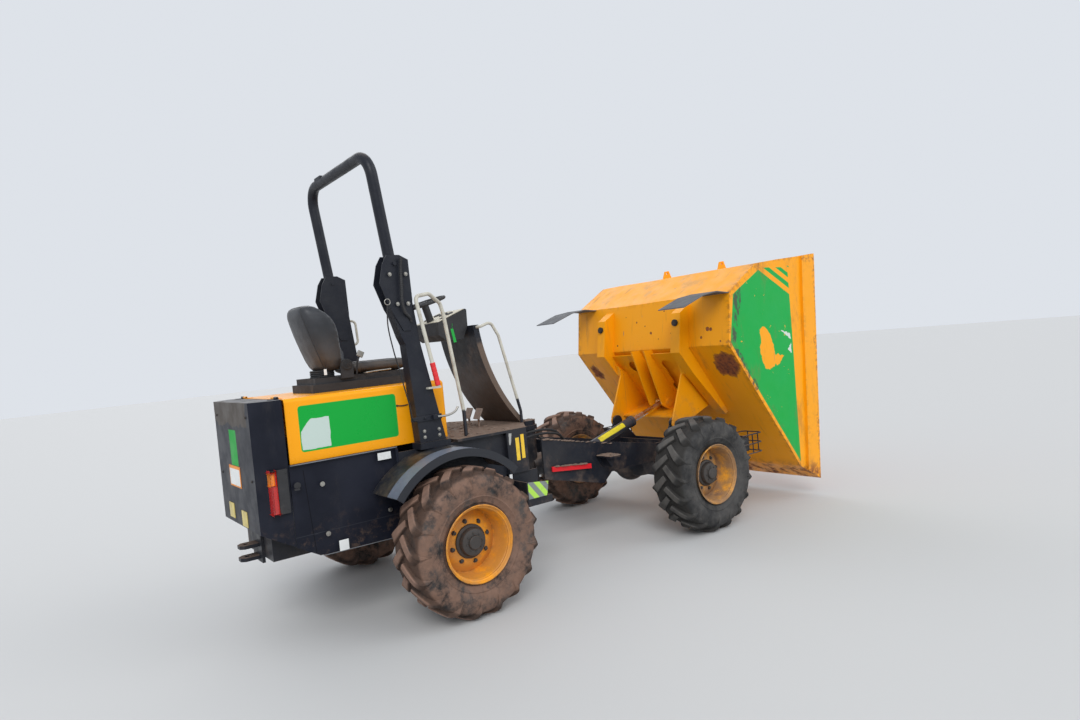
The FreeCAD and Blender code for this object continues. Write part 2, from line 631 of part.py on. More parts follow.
def steering_lugs():
    """Forked lugs for the steering ram on each chassis half."""
    x, y = STEER_BASE
    rear = []
    for z0 in (STEER_RAM_Z - 42, STEER_RAM_Z + 28):
        rear.append(box(BULKHEAD_X, x + 20, y - 36, y + 36, z0, z0 + 14))
    rear.append(box(BULKHEAD_X, BULKHEAD_X + 10, y - 36, y + 36, STEER_RAM_Z - 42, STEER_RAM_Z + 42))
    rear.append(cylinder(STEER_PIN_R, (x, y, STEER_RAM_Z - 46), (x, y, STEER_RAM_Z + 46)))
    x, y = STEER_EYE
    front = []
    for z0 in (STEER_RAM_Z - 46, STEER_RAM_Z + 32):
        front.append(box(x - 60, x + 40, y - 40, FRAME_HALF_W - FRAME_T, z0, z0 + 14))
    front.append(box(x - 60, x + 40, FRAME_HALF_W - 50, FRAME_HALF_W, STEER_RAM_Z - 46, STEER_RAM_Z + 46))
    return fuse(rear), front


def shell_plan(edge):
    """(x, y) outline of the rear end's plan, moved inwards by an edge."""
    reach = BODY_REAR_X + edge
    side, back = BODY_HALF_W - edge, BODY_REAR_HALF_W - edge * 0.5
    near = BODY_SEAM_X + (5 if edge else 0)
    return [(near, -side), (reach + 130, -side), (reach + 40, -back - 40), (reach, -back),
            (reach, back), (reach + 40, back + 40), (reach + 130, side), (near, side)]


def rear_shell():
    """Hollow rear end of the bodywork, open at its front, with chamfered corners."""
    outer = floor_plate_shape(shell_plan(0), BODY_LOW_Z, BODY_TOP_Z)
    inner = floor_plate_shape(shell_plan(BODY_SKIN_T), BODY_LOW_Z - 10, BODY_TOP_Z - BODY_SKIN_T)
    low = BODY_LOW_Z - 100
    rear, front = BODY_REAR_X - 10, BODY_SEAM_X + 10
    slope = [(rear, low), (front, low), (front, BODY_LOW_Z + 86), (rear, BODY_LOW_Z + 206)]
    below = side_plate(slope, -BODY_HALF_W - 10, BODY_HALF_W + 10)
    pieces = [outer.cut(inner).cut(below)]
    for _, side in SIDES:
        near, far = side * (HINGE_Y + HINGE_W + 2), side * (HINGE_Y + HINGE_W * 2)
        pieces.append(box(BODY_SEAM_X - 40, HINGE_X, near, far, BODY_TOP_Z, BODY_TOP_Z + 4))
        pieces.append(cylinder(HINGE_R, (HINGE_X, near, HINGE_Z), (HINGE_X, far, HINGE_Z)))
        pieces.append(cylinder(HINGE_PIN_R, (HINGE_X, side * HINGE_Y, HINGE_Z), (HINGE_X, far, HINGE_Z)))
    return fuse(pieces)


def side_panel(side):
    """Black side panel of the rear body, with its belt ledge along the top."""
    front = PANEL_FRONT_X - 8
    outline = [(BODY_SEAM_X + 4, BODY_BELT_Z - 15), (BODY_SEAM_X + 4, 684), (-933, 593),
               (front - 52, 585), (front, 640), (front, BODY_BELT_Z - 15)]
    plate = side_plate(outline, side * (BODY_HALF_W - 15), side * BODY_HALF_W)
    ledge = box(BODY_SEAM_X + FIT_GAP, front, side * (BONNET_HALF_W - 15), side * (BODY_HALF_W + 8),
                BODY_BELT_Z - 15, BODY_BELT_Z - FIT_GAP)
    flange = box(front - 12, PANEL_FRONT_X - FIT_GAP, side * (BODY_HALF_W - 15),
                 side * (FENDER_INNER_Y - FIT_GAP), 720, BODY_BELT_Z - 15)
    return fuse([plate, ledge, flange])


def bonnet():
    """Engine cover: top, two sides and front, open below and behind."""
    half = BONNET_HALF_W
    block = box(BONNET_REAR_X, BONNET_FRONT_X, -half, half, BODY_BELT_Z, BODY_TOP_Z)
    roof_edges = [e for e in block.Edges if e.BoundBox.ZMin > BODY_TOP_Z - 1]
    block = block.makeFillet(30, [e for e in roof_edges if abs(e.tangentAt(0).x) > 0.9])
    nose = [e for e in block.Edges if abs(e.tangentAt(0).y) > 0.9 and e.BoundBox.ZMin > BODY_TOP_Z - 1
            and e.BoundBox.XMin > BONNET_FRONT_X - 1]
    block = block.makeFillet(29, nose)
    inner = box(BONNET_REAR_X - 10, BONNET_FRONT_X - BONNET_T, -half + BONNET_T, half - BONNET_T,
                BODY_BELT_Z - 10, BODY_TOP_Z - BONNET_T)
    roof = [e for e in inner.Edges if e.BoundBox.ZMin > BODY_TOP_Z - 20
            and (abs(e.tangentAt(0).x) > 0.9 or e.BoundBox.XMin > BONNET_FRONT_X - 20)]
    inner = inner.makeFillet(21, roof)
    pieces = [block.cut(inner)]
    for _, side in SIDES:
        near, far = side * HINGE_Y, side * (HINGE_Y + HINGE_W)
        leaf = box(HINGE_X, BONNET_REAR_X + 40, near, far, BODY_TOP_Z, BODY_TOP_Z + 4)
        knuckle = cylinder(HINGE_R, (HINGE_X, near, HINGE_Z), (HINGE_X, far, HINGE_Z))
        pieces += [leaf, knuckle]
    cover = fuse(pieces)
    half = HINGE_Y + HINGE_W + 1
    return cover.cut(cylinder(HINGE_PIN_R + 0.05, (HINGE_X, -half, HINGE_Z), (HINGE_X, half, HINGE_Z)))


def fender(side):
    """Rear mudguard: a rolled sheet with a turned-down outer lip."""
    start, sweep = 42, 100
    def ring(outer, inner, y0, y1):
        profile = [V(outer, 0, 0), V(inner, 0, 0), V(inner, y1 - y0, 0), V(outer, y1 - y0, 0)]
        face = Part.Face(Part.makePolygon(profile + profile[:1]))
        face.rotate(V(0, 0, 0), V(0, 1, 0), -start)
        solid = face.revolve(V(0, 0, 0), V(0, 1, 0), -sweep)
        solid.translate(V(0, y0, WHEEL_Z))
        return solid
    sheet = ring(FENDER_R, FENDER_R - 10, FENDER_INNER_Y, FENDER_OUTER_Y)
    lip = ring(FENDER_R, FENDER_R - 60, FENDER_OUTER_Y - 10, FENDER_OUTER_Y)
    whole = fuse([sheet, lip])
    return whole if side > 0 else whole.mirror(V(0, 0, 0), V(0, 1, 0))


def floor_plate():
    """Operator's floor, narrowing at its nose."""
    half, nose = BULKHEAD_HALF_W, FLOOR_NOSE_HALF_W
    outline = [(BONNET_FRONT_X + 20, -half), (BULKHEAD_X, -half), (FLOOR_FRONT_X, -nose),
               (FLOOR_FRONT_X, nose), (BULKHEAD_X, half), (BONNET_FRONT_X + 20, half)]
    return floor_plate_shape(outline, FLOOR_Z - 20, FLOOR_Z)


def steps():
    """Access steps below the floor, each with a warning panel."""
    low, inner, outer = 600, BULKHEAD_HALF_W - 30, BULKHEAD_HALF_W + 160
    tread = box(700, 950, inner, outer, low, low + 12)
    rear = box(700, 712, inner, outer, low + 12, low + 200)
    hanger = box(700, 950, inner, inner + 12, low + 12, STEP_TOP_Z - FIT_GAP)
    kerb = box(712, 950, outer - 12, outer, low + 12, low + 60)
    return both_sides(fuse([tread, rear, hanger, kerb]))


def scuttle_skin(shift):
    """The scuttle's curve in side view, moved forwards."""
    low, middle, high = (1052, FLOOR_Z), (780, FLOOR_Z + 415), (652, FLOOR_Z + 895)
    points = [V(x + shift, -SCUTTLE_HALF_W, z) for x, z in (low, middle, high)]
    return Part.Arc(*points).toShape()


def scuttle_sheet(depth, y0, y1):
    """The scuttle's curve given a depth, between two widths."""
    near, far = scuttle_skin(0), scuttle_skin(depth)
    ends = [Part.makeLine(a.Point, b.Point) for a, b in zip(near.Vertexes, far.Vertexes)]
    face = Part.Face(Part.Wire([near, ends[1], far, ends[0]]))
    sheet = face.extrude(V(0, y1 - y0, 0))
    sheet.translate(V(0, y0 + SCUTTLE_HALF_W, 0))
    return sheet


def scuttle():
    """Curved front panel with a deep flange along each side."""
    half = SCUTTLE_HALF_W
    return fuse([scuttle_sheet(10, -half, half), scuttle_sheet(55, -half, -half + 12),
                 scuttle_sheet(55, half - 12, half)])


def dash():
    """Wedge-shaped instrument box with the steering column."""
    box_side = [(365, 2060), (365, 2165), (640, 2270), (655, 2262), (652, 2122), (600, 2010), (430, 2010)]
    body = side_plate(box_side, -215, 215)
    line = steering_axis()
    column = Part.makeCylinder(32, 200 - 20 - FIT_GAP, STEERING_CENTRE - line * 200, line)
    return fuse([body, column])


def steering_axis():
    """Unit vector up the steering column."""
    tilt = math.radians(STEERING_TILT)
    return V(-math.sin(tilt), 0, math.cos(tilt))


def steering_wheel():
    """Three-spoke steering wheel, tilted towards the driver."""
    centre, radius, normal = STEERING_CENTRE, STEERING_WHEEL_R, steering_axis()
    ring = Part.makeTorus(radius, 14, centre, normal)
    hub = Part.makeCylinder(34, 30, centre - normal * 20, normal)
    spokes = []
    for turn in (90, 210, 330):
        spoke = Part.makeCylinder(9, radius, V(0, 0, 0), V(1, 0, 0))
        spoke.rotate(V(0, 0, 0), V(0, 0, 1), turn)
        spoke.rotate(V(0, 0, 0), V(0, 1, 0), -STEERING_TILT)
        spoke.translate(centre)
        spokes.append(spoke)
    return fuse([ring, hub] + spokes)


def controls():
    """Two pedals and a hand lever standing on the floor."""
    pieces = []
    floor = FLOOR_Z + FIT_GAP
    for y in (-120, 40):
        stalk = cylinder(10, (730, y, floor), (730, y, 1340))
        pad = side_plate([(700, 1300), (745, 1390), (757, 1384), (712, 1294)], y - 45, y + 45)
        pieces.append(fuse([stalk, pad]))
    lever = bent_tube([(540, 230, floor), (540, 230, 1500), (480, 230, 1620)], [80], 9)
    knob = Part.makeSphere(22, V(478, 230, 1622))
    pieces.append(fuse([lever, knob]))
    return Part.makeCompound(pieces)


def seat_plinth():
    """Seat box with its suspension and slide rails on the engine cover."""
    base = box(-750, 20, -235, 235, BODY_TOP_Z + FIT_GAP, SEAT_BASE_Z)
    rails = box(-720, 50, -210, 210, SEAT_BASE_Z, SEAT_FLOOR_Z)
    pieces = [base, rails]
    near, far = SEAT_HALF_W + FIT_GAP, SEAT_HALF_W + FIT_GAP + 16
    hub_z = SEAT_FLOOR_Z + 82
    for _, side in SIDES:
        pieces.append(box(-530, -430, side * near, side * far, SEAT_FLOOR_Z - 18, hub_z))
        pieces.append(box(-530, -430, side * 205, side * far, SEAT_FLOOR_Z - 18, SEAT_FLOOR_Z - 2))
        pieces.append(cylinder(46, (-480, side * near, hub_z), (-480, side * (far + 4), hub_z)))
    return fuse(pieces)


def seat_cushion():
    """Seat cushion, a closed block with eased edges."""
    top = SEAT_FLOOR_Z + 117
    block = box(-425, 70, -SEAT_HALF_W, SEAT_HALF_W, SEAT_FLOOR_Z + FIT_GAP, top)
    return block.makeFillet(28, [e for e in block.Edges if e.BoundBox.ZMin > top - 5])


def seat_back():
    """Backrest leaning back over the engine cover."""
    # x, and height above the seat's floor
    side = [(-445, 122), (-470, 42), (-640, 42), (-830, 392), (-850, 482), (-820, 542),
            (-760, 562), (-690, 537), (-520, 322)]
    block = side_plate([(x, SEAT_FLOOR_Z + z) for x, z in side], -SEAT_HALF_W, SEAT_HALF_W)
    return block.makeChamfer(26, [e for e in block.Edges if abs(e.tangentAt(0).y) < 0.1])


def rops_post(side):
    """Fabricated post of the roll-over bar, with the fork that holds the hoop."""
    inner, outer = ROPS_Y - 50, ROPS_Y + 50
    post = [(-132, 1252), (90, 1252), (-49, 1988), (-85, 2330), (-170, 2385), (-250, 2385),
            (-262, 2270), (-200, 2060), (-174, 1998)]
    hollow = side_plate(inset(post, 8), side * (inner + 8), side * (outer - 8))
    body = side_plate(post, side * inner, side * outer).cut(hollow)
    gap = ROPS_TUBE_R + ROPS_CHEEK_GAP
    cheek = [(-120, 2100), (-180, 2100), (-270, 2270), (-335, 2457), (-300, 2600), (-260, 2665),
             (-160, 2665), (-90, 2630), (-85, 2330)]
    pieces = [body]
    for face in (-1, 1):
        start = ROPS_Y + face * gap
        pieces.append(side_plate(cheek, side * start, side * (start + face * ROPS_CHEEK_T)))
    pin_half = gap + ROPS_CHEEK_T + 6
    pieces.append(cylinder(ROPS_PIN_R, (ROPS_FOLD_X, side * (ROPS_Y - pin_half), ROPS_FOLD_Z),
                           (ROPS_FOLD_X, side * (ROPS_Y + pin_half + 10), ROPS_FOLD_Z)))
    foot = box(-150, 105, side * (BONNET_HALF_W + 12), side * (outer + 40), FLOOR_Z - 20, 1252)
    pieces.append(foot)
    return fuse(pieces)


def rops_hoop():
    """Upper hoop of the roll-over bar, bent from one tube."""
    lean = (ROPS_TOP_X - ROPS_FOLD_X) / (ROPS_TOP_Z - ROPS_FOLD_Z)
    foot_z = ROPS_FOLD_Z - 195
    foot_x = ROPS_FOLD_X - 195 * lean
    points = [(foot_x, ROPS_Y, foot_z), (ROPS_TOP_X, ROPS_Y, ROPS_TOP_Z),
              (ROPS_TOP_X, -ROPS_Y, ROPS_TOP_Z), (foot_x, -ROPS_Y, foot_z)]
    bore = bent_tube(points, [170, 170], ROPS_TUBE_R - ROPS_WALL_T)
    hoop = bent_tube(points, [170, 170], ROPS_TUBE_R).cut(bore)
    for _, side in SIDES:
        hoop = hoop.cut(cylinder(ROPS_PIN_R + 0.05, (ROPS_FOLD_X, side * (ROPS_Y - 80), ROPS_FOLD_Z),
                                 (ROPS_FOLD_X, side * (ROPS_Y + 80), ROPS_FOLD_Z)))
    return hoop


def grab_rails():
    """Hand rails beside the driver and on the scuttle."""
    y, floor = ROPS_Y + 76, FLOOR_Z + FIT_GAP
    loop = bent_tube([(52, -y, 1660), (-72, -y, 2350), (70, 46 - y, 2372), (205, 126 - y, 2300),
                      (235, 141 - y, 2215), (345, 156 - y, 1420), (345, 156 - y, floor)],
                     [40, 60, 40, 40, 60], 15)
    foot = box(-40, 68, -y - 15, -ROPS_Y - 50, 1648, 1662)
    half = SCUTTLE_HALF_W
    front = bent_tube([(690, -half - FIT_GAP, 2100), (690, -half - 50, 2100), (800, -half - 50, 2135),
                       (870, -half - 50, 2010), (1048, -half - 25, 1330), (1048, -half - 25, floor)],
                      [18, 50, 60, 60], 13)
    near, out = ROPS_Y + 50, ROPS_Y + 102
    far = bent_tube([(-150, near + 8, 2290), (-150, out, 2290), (30, out, 2270), (40, out, 2060),
                     (-110, out, 2050), (-110, near, 2050)], [22, 40, 40, 22], 11)
    return Part.makeCompound([fuse([loop, foot]), front, far])


def tow_hitch():
    """Forked tow hitch behind the chassis, bored for a drawbar pin."""
    back = box(RAIL_REAR_X - 20, RAIL_REAR_X, -110, 110, 520, 760)
    jaws = []
    for z0 in (545, 635):
        jaw = floor_plate_shape([(RAIL_REAR_X - 20, -60), (HITCH_REAR_X + 30, -60), (HITCH_REAR_X, -30),
                                 (HITCH_REAR_X, 30), (HITCH_REAR_X + 30, 60), (RAIL_REAR_X - 20, 60)],
                                z0, z0 + 25)
        jaws.append(jaw)
    bore = cylinder(16, (HITCH_REAR_X + 50, 0, 500), (HITCH_REAR_X + 50, 0, 700))
    return fuse([back] + jaws).cut(bore)


def tail_lamps():
    """Lamp clusters on the chamfered rear corners, with their housings behind."""
    low, high = TAIL_LAMP_Z - 145, TAIL_LAMP_Z + 145
    front = BODY_SEAM_X - 16
    seam = BODY_REAR_X + 108
    housing = box(seam, front, BODY_HALF_W - 10, BODY_HALF_W + 30, low - 10, high + 10)
    glass = box(seam - 44, seam, BODY_HALF_W - 30, BODY_HALF_W + 26, low, high)
    body = floor_plate_shape(shell_plan(0)[3:], low - 20, high + 20)
    return both_sides(fuse([housing, glass]).cut(body))


def engine():
    """Engine and gearbox as one plain block between the rails."""
    inner = RAIL_Y - RAIL_T - 4
    block = box(-960, -362, -inner, inner, 572 + FIT_GAP, 1360)
    gearbox = box(-362, -100, -180, 180, 780, 1150)
    return fuse([block, gearbox])


def build():
    """Every node of the machine by name."""
    nodes = {
        "rear_frame": rear_frame(), "bulkhead": bulkhead(), "pivot_yoke": pivot_yoke(),
        "trunnion": trunnion(), "front_frame": front_frame(), "lamp_guards": lamp_guards(),
        "headlamps": headlamps(), "lock_bar": lock_bar(), "skip_shell": skip_shell(),
        "skip_frame": skip_frame(), "skip_buffers": skip_buffers(), "lifting_eyes": lifting_eyes(),
        "skip_guards": skip_guards(), "ram_barrel": ram_barrel(), "ram_rod": ram_rod(),
        "rear_shell": rear_shell(), "bonnet": bonnet(), "floor_plate": floor_plate(),
        "steps": steps(), "scuttle": scuttle(), "dash": dash(), "steering_wheel": steering_wheel(),
        "controls": controls(), "seat_plinth": seat_plinth(), "seat_cushion": seat_cushion(),
        "seat_back": seat_back(), "rops_hoop": rops_hoop(), "grab_rails": grab_rails(),
        "tow_hitch": tow_hitch(), "tail_lamps": tail_lamps(), "engine": engine(),
    }
    barrel, rod = steering_ram()
    rear_lugs, front_lugs = steering_lugs()
    nodes["steering_barrel"] = barrel
    nodes["steering_rod"] = rod
    nodes["bulkhead"] = nodes["bulkhead"].fuse(rear_lugs).removeSplitter()
    nodes["front_frame"] = fuse([nodes["front_frame"]] + front_lugs)
    for name, side in SIDES:
        nodes["side_panel_" + name] = side_panel(side)
        nodes["fender_" + name] = fender(side)
        nodes["rops_post_" + name] = rops_post(side)
    rubber = tyre_body()
    for end, centre_x in (("rear", 0.0), ("front", WHEELBASE)):
        nodes[end + "_axle"] = axle(centre_x)
        for name, side in SIDES:
            wheel = rubber.copy() if side > 0 else rubber.mirror(V(0, 0, 0), V(0, 1, 0))
            wheel.translate(V(centre_x, side * WHEEL_Y, WHEEL_Z))
            nodes["tyre_%s_%s" % (end, name)] = wheel
            nodes["rim_%s_%s" % (end, name)] = rim(centre_x, side)
    return nodes


os.makedirs("parts", exist_ok=True)
for node, shape in build().items():
    shape.translate(V(-ORIGIN_X, 0, 0))
    shape.exportStep("parts/" + node + ".step")
    print(node, shape.isValid(), len(shape.Solids), round(shape.Volume / 1e9, 5))
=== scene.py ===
"""Looks for the site dumper: finishes for the CAD nodes, detailed pieces, light and camera.

Lengths are in metres. Places are written as they were measured, with x = 0 under the rear
axle, and at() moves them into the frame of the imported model.
"""
import math
import random

import bmesh
import bpy
from mathutils import Matrix, Vector, noise
from mathutils.bvhtree import BVHTree
from mathutils.kdtree import KDTree

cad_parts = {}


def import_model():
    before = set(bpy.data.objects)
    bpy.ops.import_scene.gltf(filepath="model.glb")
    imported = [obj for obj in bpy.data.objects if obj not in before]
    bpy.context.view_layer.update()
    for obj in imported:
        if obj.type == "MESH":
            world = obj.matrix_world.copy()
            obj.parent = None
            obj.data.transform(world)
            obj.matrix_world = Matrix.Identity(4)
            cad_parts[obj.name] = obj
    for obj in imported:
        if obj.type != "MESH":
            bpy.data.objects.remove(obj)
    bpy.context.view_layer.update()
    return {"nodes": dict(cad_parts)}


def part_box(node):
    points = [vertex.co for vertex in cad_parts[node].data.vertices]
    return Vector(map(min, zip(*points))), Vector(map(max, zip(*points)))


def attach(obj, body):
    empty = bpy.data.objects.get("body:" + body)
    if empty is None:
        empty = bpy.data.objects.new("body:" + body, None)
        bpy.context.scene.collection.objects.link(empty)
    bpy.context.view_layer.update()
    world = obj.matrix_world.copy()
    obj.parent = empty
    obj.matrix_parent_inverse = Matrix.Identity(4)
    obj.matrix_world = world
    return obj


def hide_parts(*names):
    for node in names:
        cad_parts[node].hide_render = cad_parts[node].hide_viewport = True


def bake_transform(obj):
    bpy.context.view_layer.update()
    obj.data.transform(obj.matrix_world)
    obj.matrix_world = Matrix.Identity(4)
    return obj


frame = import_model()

SHIFT = 1.6165
WHEELBASE = 2.626
TYRE_R = 0.5375
WHEEL_Y = 0.981
RIGHT, LEFT = -1, 1
SIDES = (("left", LEFT), ("right", RIGHT))
NOISE_SEED = 4  # noise_vector takes its offset from the clock unless it is seeded

# Colours, linear RGB
YELLOW = (0.88, 0.345, 0.001)
GREEN = (0.0, 0.345, 0.036)
BLACK = (0.010, 0.012, 0.019)
MUD = (0.115, 0.075, 0.055)
MUD_DRY = (0.24, 0.175, 0.135)
RUST = (0.09, 0.026, 0.014)
RUST_BRIGHT = (0.28, 0.085, 0.03)
STEEL = (0.30, 0.29, 0.28)


def at(x, y, z):
    """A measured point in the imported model's frame."""
    return Vector((x - SHIFT, y, z))


class Finish:
    """A node-built material with the helpers that the finishes below share."""

    def __init__(self, name):
        self.material = bpy.data.materials.new(name)
        self.material.use_nodes = True
        self.tree = self.material.node_tree
        self.shader = self.tree.nodes["Principled BSDF"]
        coordinates = self.tree.nodes.new("ShaderNodeTexCoord")
        self.place, self.facing = coordinates.outputs["Object"], coordinates.outputs["Normal"]
        self.split = None

    def feed(self, socket, value):
        """Sets a socket to a number or colour, or links another socket to it."""
        if isinstance(value, bpy.types.NodeSocket):
            self.tree.links.new(value, socket)
        elif isinstance(value, (tuple, list)) and socket.type == "RGBA":
            socket.default_value = (*value[:3], 1.0)
        else:
            socket.default_value = value

    def set(self, **inputs):
        """Sets inputs of the main shader by name, with _ for a space."""
        for name, value in inputs.items():
            self.feed(self.shader.inputs[name.replace("_", " ")], value)

    def calc(self, operation, a, b=0.0):
        """The result of one sum of two numbers."""
        node = self.tree.nodes.new("ShaderNodeMath")
        node.operation = operation
        self.feed(node.inputs[0], a)
        self.feed(node.inputs[1], b)
        return node.outputs[0]

    def axis(self, name):
        """One coordinate of the surface point, in the measured place."""
        if self.split is None:
            self.split = self.tree.nodes.new("ShaderNodeSeparateXYZ")
            self.tree.links.new(self.place, self.split.inputs[0])
        value = self.split.outputs["XYZ".index(name.upper())]
        return self.plus(value, SHIFT) if name == "x" else value

    def stretched(self, scale):
        """The surface point with its coordinates scaled one by one."""
        node = self.tree.nodes.new("ShaderNodeVectorMath")
        node.operation = "MULTIPLY"
        self.tree.links.new(self.place, node.inputs[0])
        node.inputs[1].default_value = scale
        return node.outputs[0]

    def noise(self, scale, detail=4.0, roughness=0.6, stretch=None):
        """Cloudy noise from 0 to 1."""
        node = self.tree.nodes.new("ShaderNodeTexNoise")
        node.inputs["Scale"].default_value = scale
        node.inputs["Detail"].default_value = detail
        node.inputs["Roughness"].default_value = roughness
        self.tree.links.new(self.stretched(stretch) if stretch else self.place, node.inputs["Vector"])
        return node.outputs["Fac"]

    def cells(self, scale):
        """Distance to the nearest of many scattered points."""
        node = self.tree.nodes.new("ShaderNodeTexVoronoi")
        node.inputs["Scale"].default_value = scale
        self.tree.links.new(self.place, node.inputs["Vector"])
        return node.outputs["Distance"]

    def step(self, value, low, high, to_low=0.0, to_high=1.0):
        """A smooth rise from to_low to to_high as the value goes from low to high."""
        node = self.tree.nodes.new("ShaderNodeMapRange")
        node.interpolation_type = "SMOOTHSTEP"
        self.feed(node.inputs["Value"], value)
        for name, number in (("From Min", low), ("From Max", high), ("To Min", to_low), ("To Max", to_high)):
            node.inputs[name].default_value = number
        return node.outputs["Result"]

    def folded(self, operation, values):
        """The result of one operation over all the values, from the first to the last."""
        result = values[0]
        for value in values[1:]:
            result = self.calc(operation, result, value)
        return result

    def times(self, *values):
        """The product of the values."""
        return self.folded("MULTIPLY", values)

    def plus(self, *values):
        """The sum of the values."""
        return self.folded("ADD", values)

    def both(self, *masks):
        """Where all the masks hold."""
        return self.folded("MULTIPLY", masks)

    def either(self, *masks):
        """Where any of the masks holds, or the largest of the values."""
        return self.folded("MAXIMUM", masks)

    def blend(self, mask, under, over):
        """The colour over laid on the colour under where the mask is 1."""
        node = self.tree.nodes.new("ShaderNodeMix")
        node.data_type = "RGBA"
        self.feed(node.inputs[0], mask)
        self.feed(node.inputs[6], under)
        self.feed(node.inputs[7], over)
        return node.outputs[2]

    def edges(self, low=0.52, high=0.62):
        """Worn edges, where the surface bends sharply outwards."""
        node = self.tree.nodes.new("ShaderNodeNewGeometry")
        return self.step(node.outputs["Pointiness"], low, high)

    def normal(self, name):
        """One coordinate of the surface's normal, as the piece stands at rest."""
        split = self.tree.nodes.new("ShaderNodeSeparateXYZ")
        self.tree.links.new(self.facing, split.inputs[0])
        return split.outputs[name.upper()]

    def up(self, low=0.3, high=0.9):
        """Surfaces that face upwards."""
        return self.step(self.normal("z"), low, high)

    def outwards(self, low=0.5, high=0.7):
        """Surfaces that face away from the machine's middle, to the left or the right."""
        return self.step(self.times(self.normal("y"), self.calc("SIGN", self.axis("y"))), low, high)

    def polygon(self, plane, points, soft=0.002, ragged=0.0, scale=14.0):
        """Inside of a convex polygon of points in a plane, such as xz, with a ragged edge."""
        u, v = self.axis(plane[0]), self.axis(plane[1])
        middle_u = sum(p[0] for p in points) / len(points)
        middle_v = sum(p[1] for p in points) / len(points)
        inside = None
        for (u0, v0), (u1, v1) in zip(points, points[1:] + points[:1]):
            length = math.hypot(u1 - u0, v1 - v0)
            a, b = (v0 - v1) / length, (u1 - u0) / length
            if a * (middle_u - u0) + b * (middle_v - v0) < 0:
                a, b = -a, -b
            reach = self.plus(self.times(u, a), self.times(v, b))
            reach = self.calc("SUBTRACT", reach, a * u0 + b * v0)
            inside = reach if inside is None else self.calc("MINIMUM", inside, reach)
        if ragged:
            wave = self.calc("SUBTRACT", self.noise(scale, 5.0), 0.5)
            inside = self.plus(inside, self.times(wave, ragged))
        return self.step(inside, -soft, soft)

    def discs(self, plane, spots, ragged=0.0):
        """Inside of any round spot of (u, v, radius) in a plane."""
        u, v = self.axis(plane[0]), self.axis(plane[1])
        best = None
        for u0, v0, radius in spots:
            du, dv = self.calc("SUBTRACT", u, u0), self.calc("SUBTRACT", v, v0)
            far = self.plus(self.times(du, du), self.times(dv, dv))
            share = self.calc("DIVIDE", self.calc("SQRT", far), radius)
            best = share if best is None else self.calc("MINIMUM", best, share)
        if ragged:
            wave = self.calc("SUBTRACT", self.noise(60.0, 5.0), 0.5)
            best = self.plus(best, self.times(wave, ragged * 3))
        return self.step(best, 1.1, 0.9)

    def bump(self, height, distance=0.002, strength=0.6, under=None):
        """Raises the surface by a height map."""
        node = self.tree.nodes.new("ShaderNodeBump")
        node.inputs["Strength"].default_value = strength
        node.inputs["Distance"].default_value = distance
        self.feed(node.inputs["Height"], height)
        if under is not None:
            self.tree.links.new(under, node.inputs["Normal"])
        return node.outputs["Normal"]


def painted(name, colour, gloss=0.32, mud=0.4, mud_top=0.9, wear=0.5, rust=0.0, chips=0.3,
            streaks=0.0, patches=(), bare=RUST):
    """Painted metal: base colour, painted patches, faded areas, dirt, chips, rust and mud."""
    f = Finish(name)
    fade = f.noise(1.7, 3.0)
    base = f.blend(f.step(fade, 0.35, 0.75, 0.0, 0.3), colour,
                   tuple(min(1, c * 1.12 + 0.006) for c in colour))
    rough = f.step(f.noise(6.0), 0.3, 0.7, gloss, gloss + 0.16)
    for patch in patches:
        base = f.blend(patch["mask"](f), base, patch["colour"])
    if streaks:
        lines = f.noise(9.0, 6.0, 0.65, stretch=(1.0, 1.0, 0.12))
        base = f.blend(f.step(lines, 0.56, 0.74, 0.0, streaks), base, MUD)
    if wear:
        worn = f.both(f.edges(), f.step(f.noise(24.0, 5.0), 0.42, 0.6))
        base = f.blend(f.times(worn, wear), base, bare)
    if chips:
        spots = f.both(f.step(f.cells(26.0), 0.16, 0.05), f.step(f.noise(3.1, 4.0), 0.56, 0.62))
        base = f.blend(f.times(spots, chips), base, bare)
    if rust:
        cloud = f.step(f.noise(2.3, 9.0, 0.72), 0.68 - rust * 0.16, 0.74 - rust * 0.10)
        base = f.blend(cloud, base, f.blend(f.step(f.noise(42.0, 4.0), 0.4, 0.65), RUST, RUST_BRIGHT))
        rough = f.either(rough, f.times(cloud, 0.85))
    if mud:
        low = f.step(f.axis("z"), mud_top, mud_top - 0.75)
        splash = f.step(f.plus(f.noise(5.0, 8.0, 0.7), f.times(low, 0.32)), 0.60, 0.86)
        cover = f.times(splash, mud)
        base = f.blend(cover, base, f.blend(f.noise(18.0), MUD, MUD_DRY))
        rough = f.either(rough, f.times(cover, 0.9))
    f.set(Base_Color=base, Roughness=rough, Specular_IOR_Level=0.28)
    grain = f.plus(f.times(f.noise(300.0, 2.0), 0.12), f.noise(7.0, 3.0))
    f.set(Normal=f.bump(grain, 0.0016, 0.35))
    return f.material


def patch(colour, *shapes, ragged=0.0, soft=0.002, facing=None, sideways=False):
    """A patch of colour on the areas of the given (plane, points) polygons."""
    def mask(f):
        """Builds the patch's mask in a finish."""
        areas = [f.polygon(plane, points, soft, ragged) for plane, points in shapes]
        whole = f.either(*areas)
        for axis, low, high in (facing or ()):
            whole = f.both(whole, f.step(f.axis(axis), low, high))
        return f.both(whole, f.outwards()) if sideways else whole
    return {"mask": mask, "colour": colour}


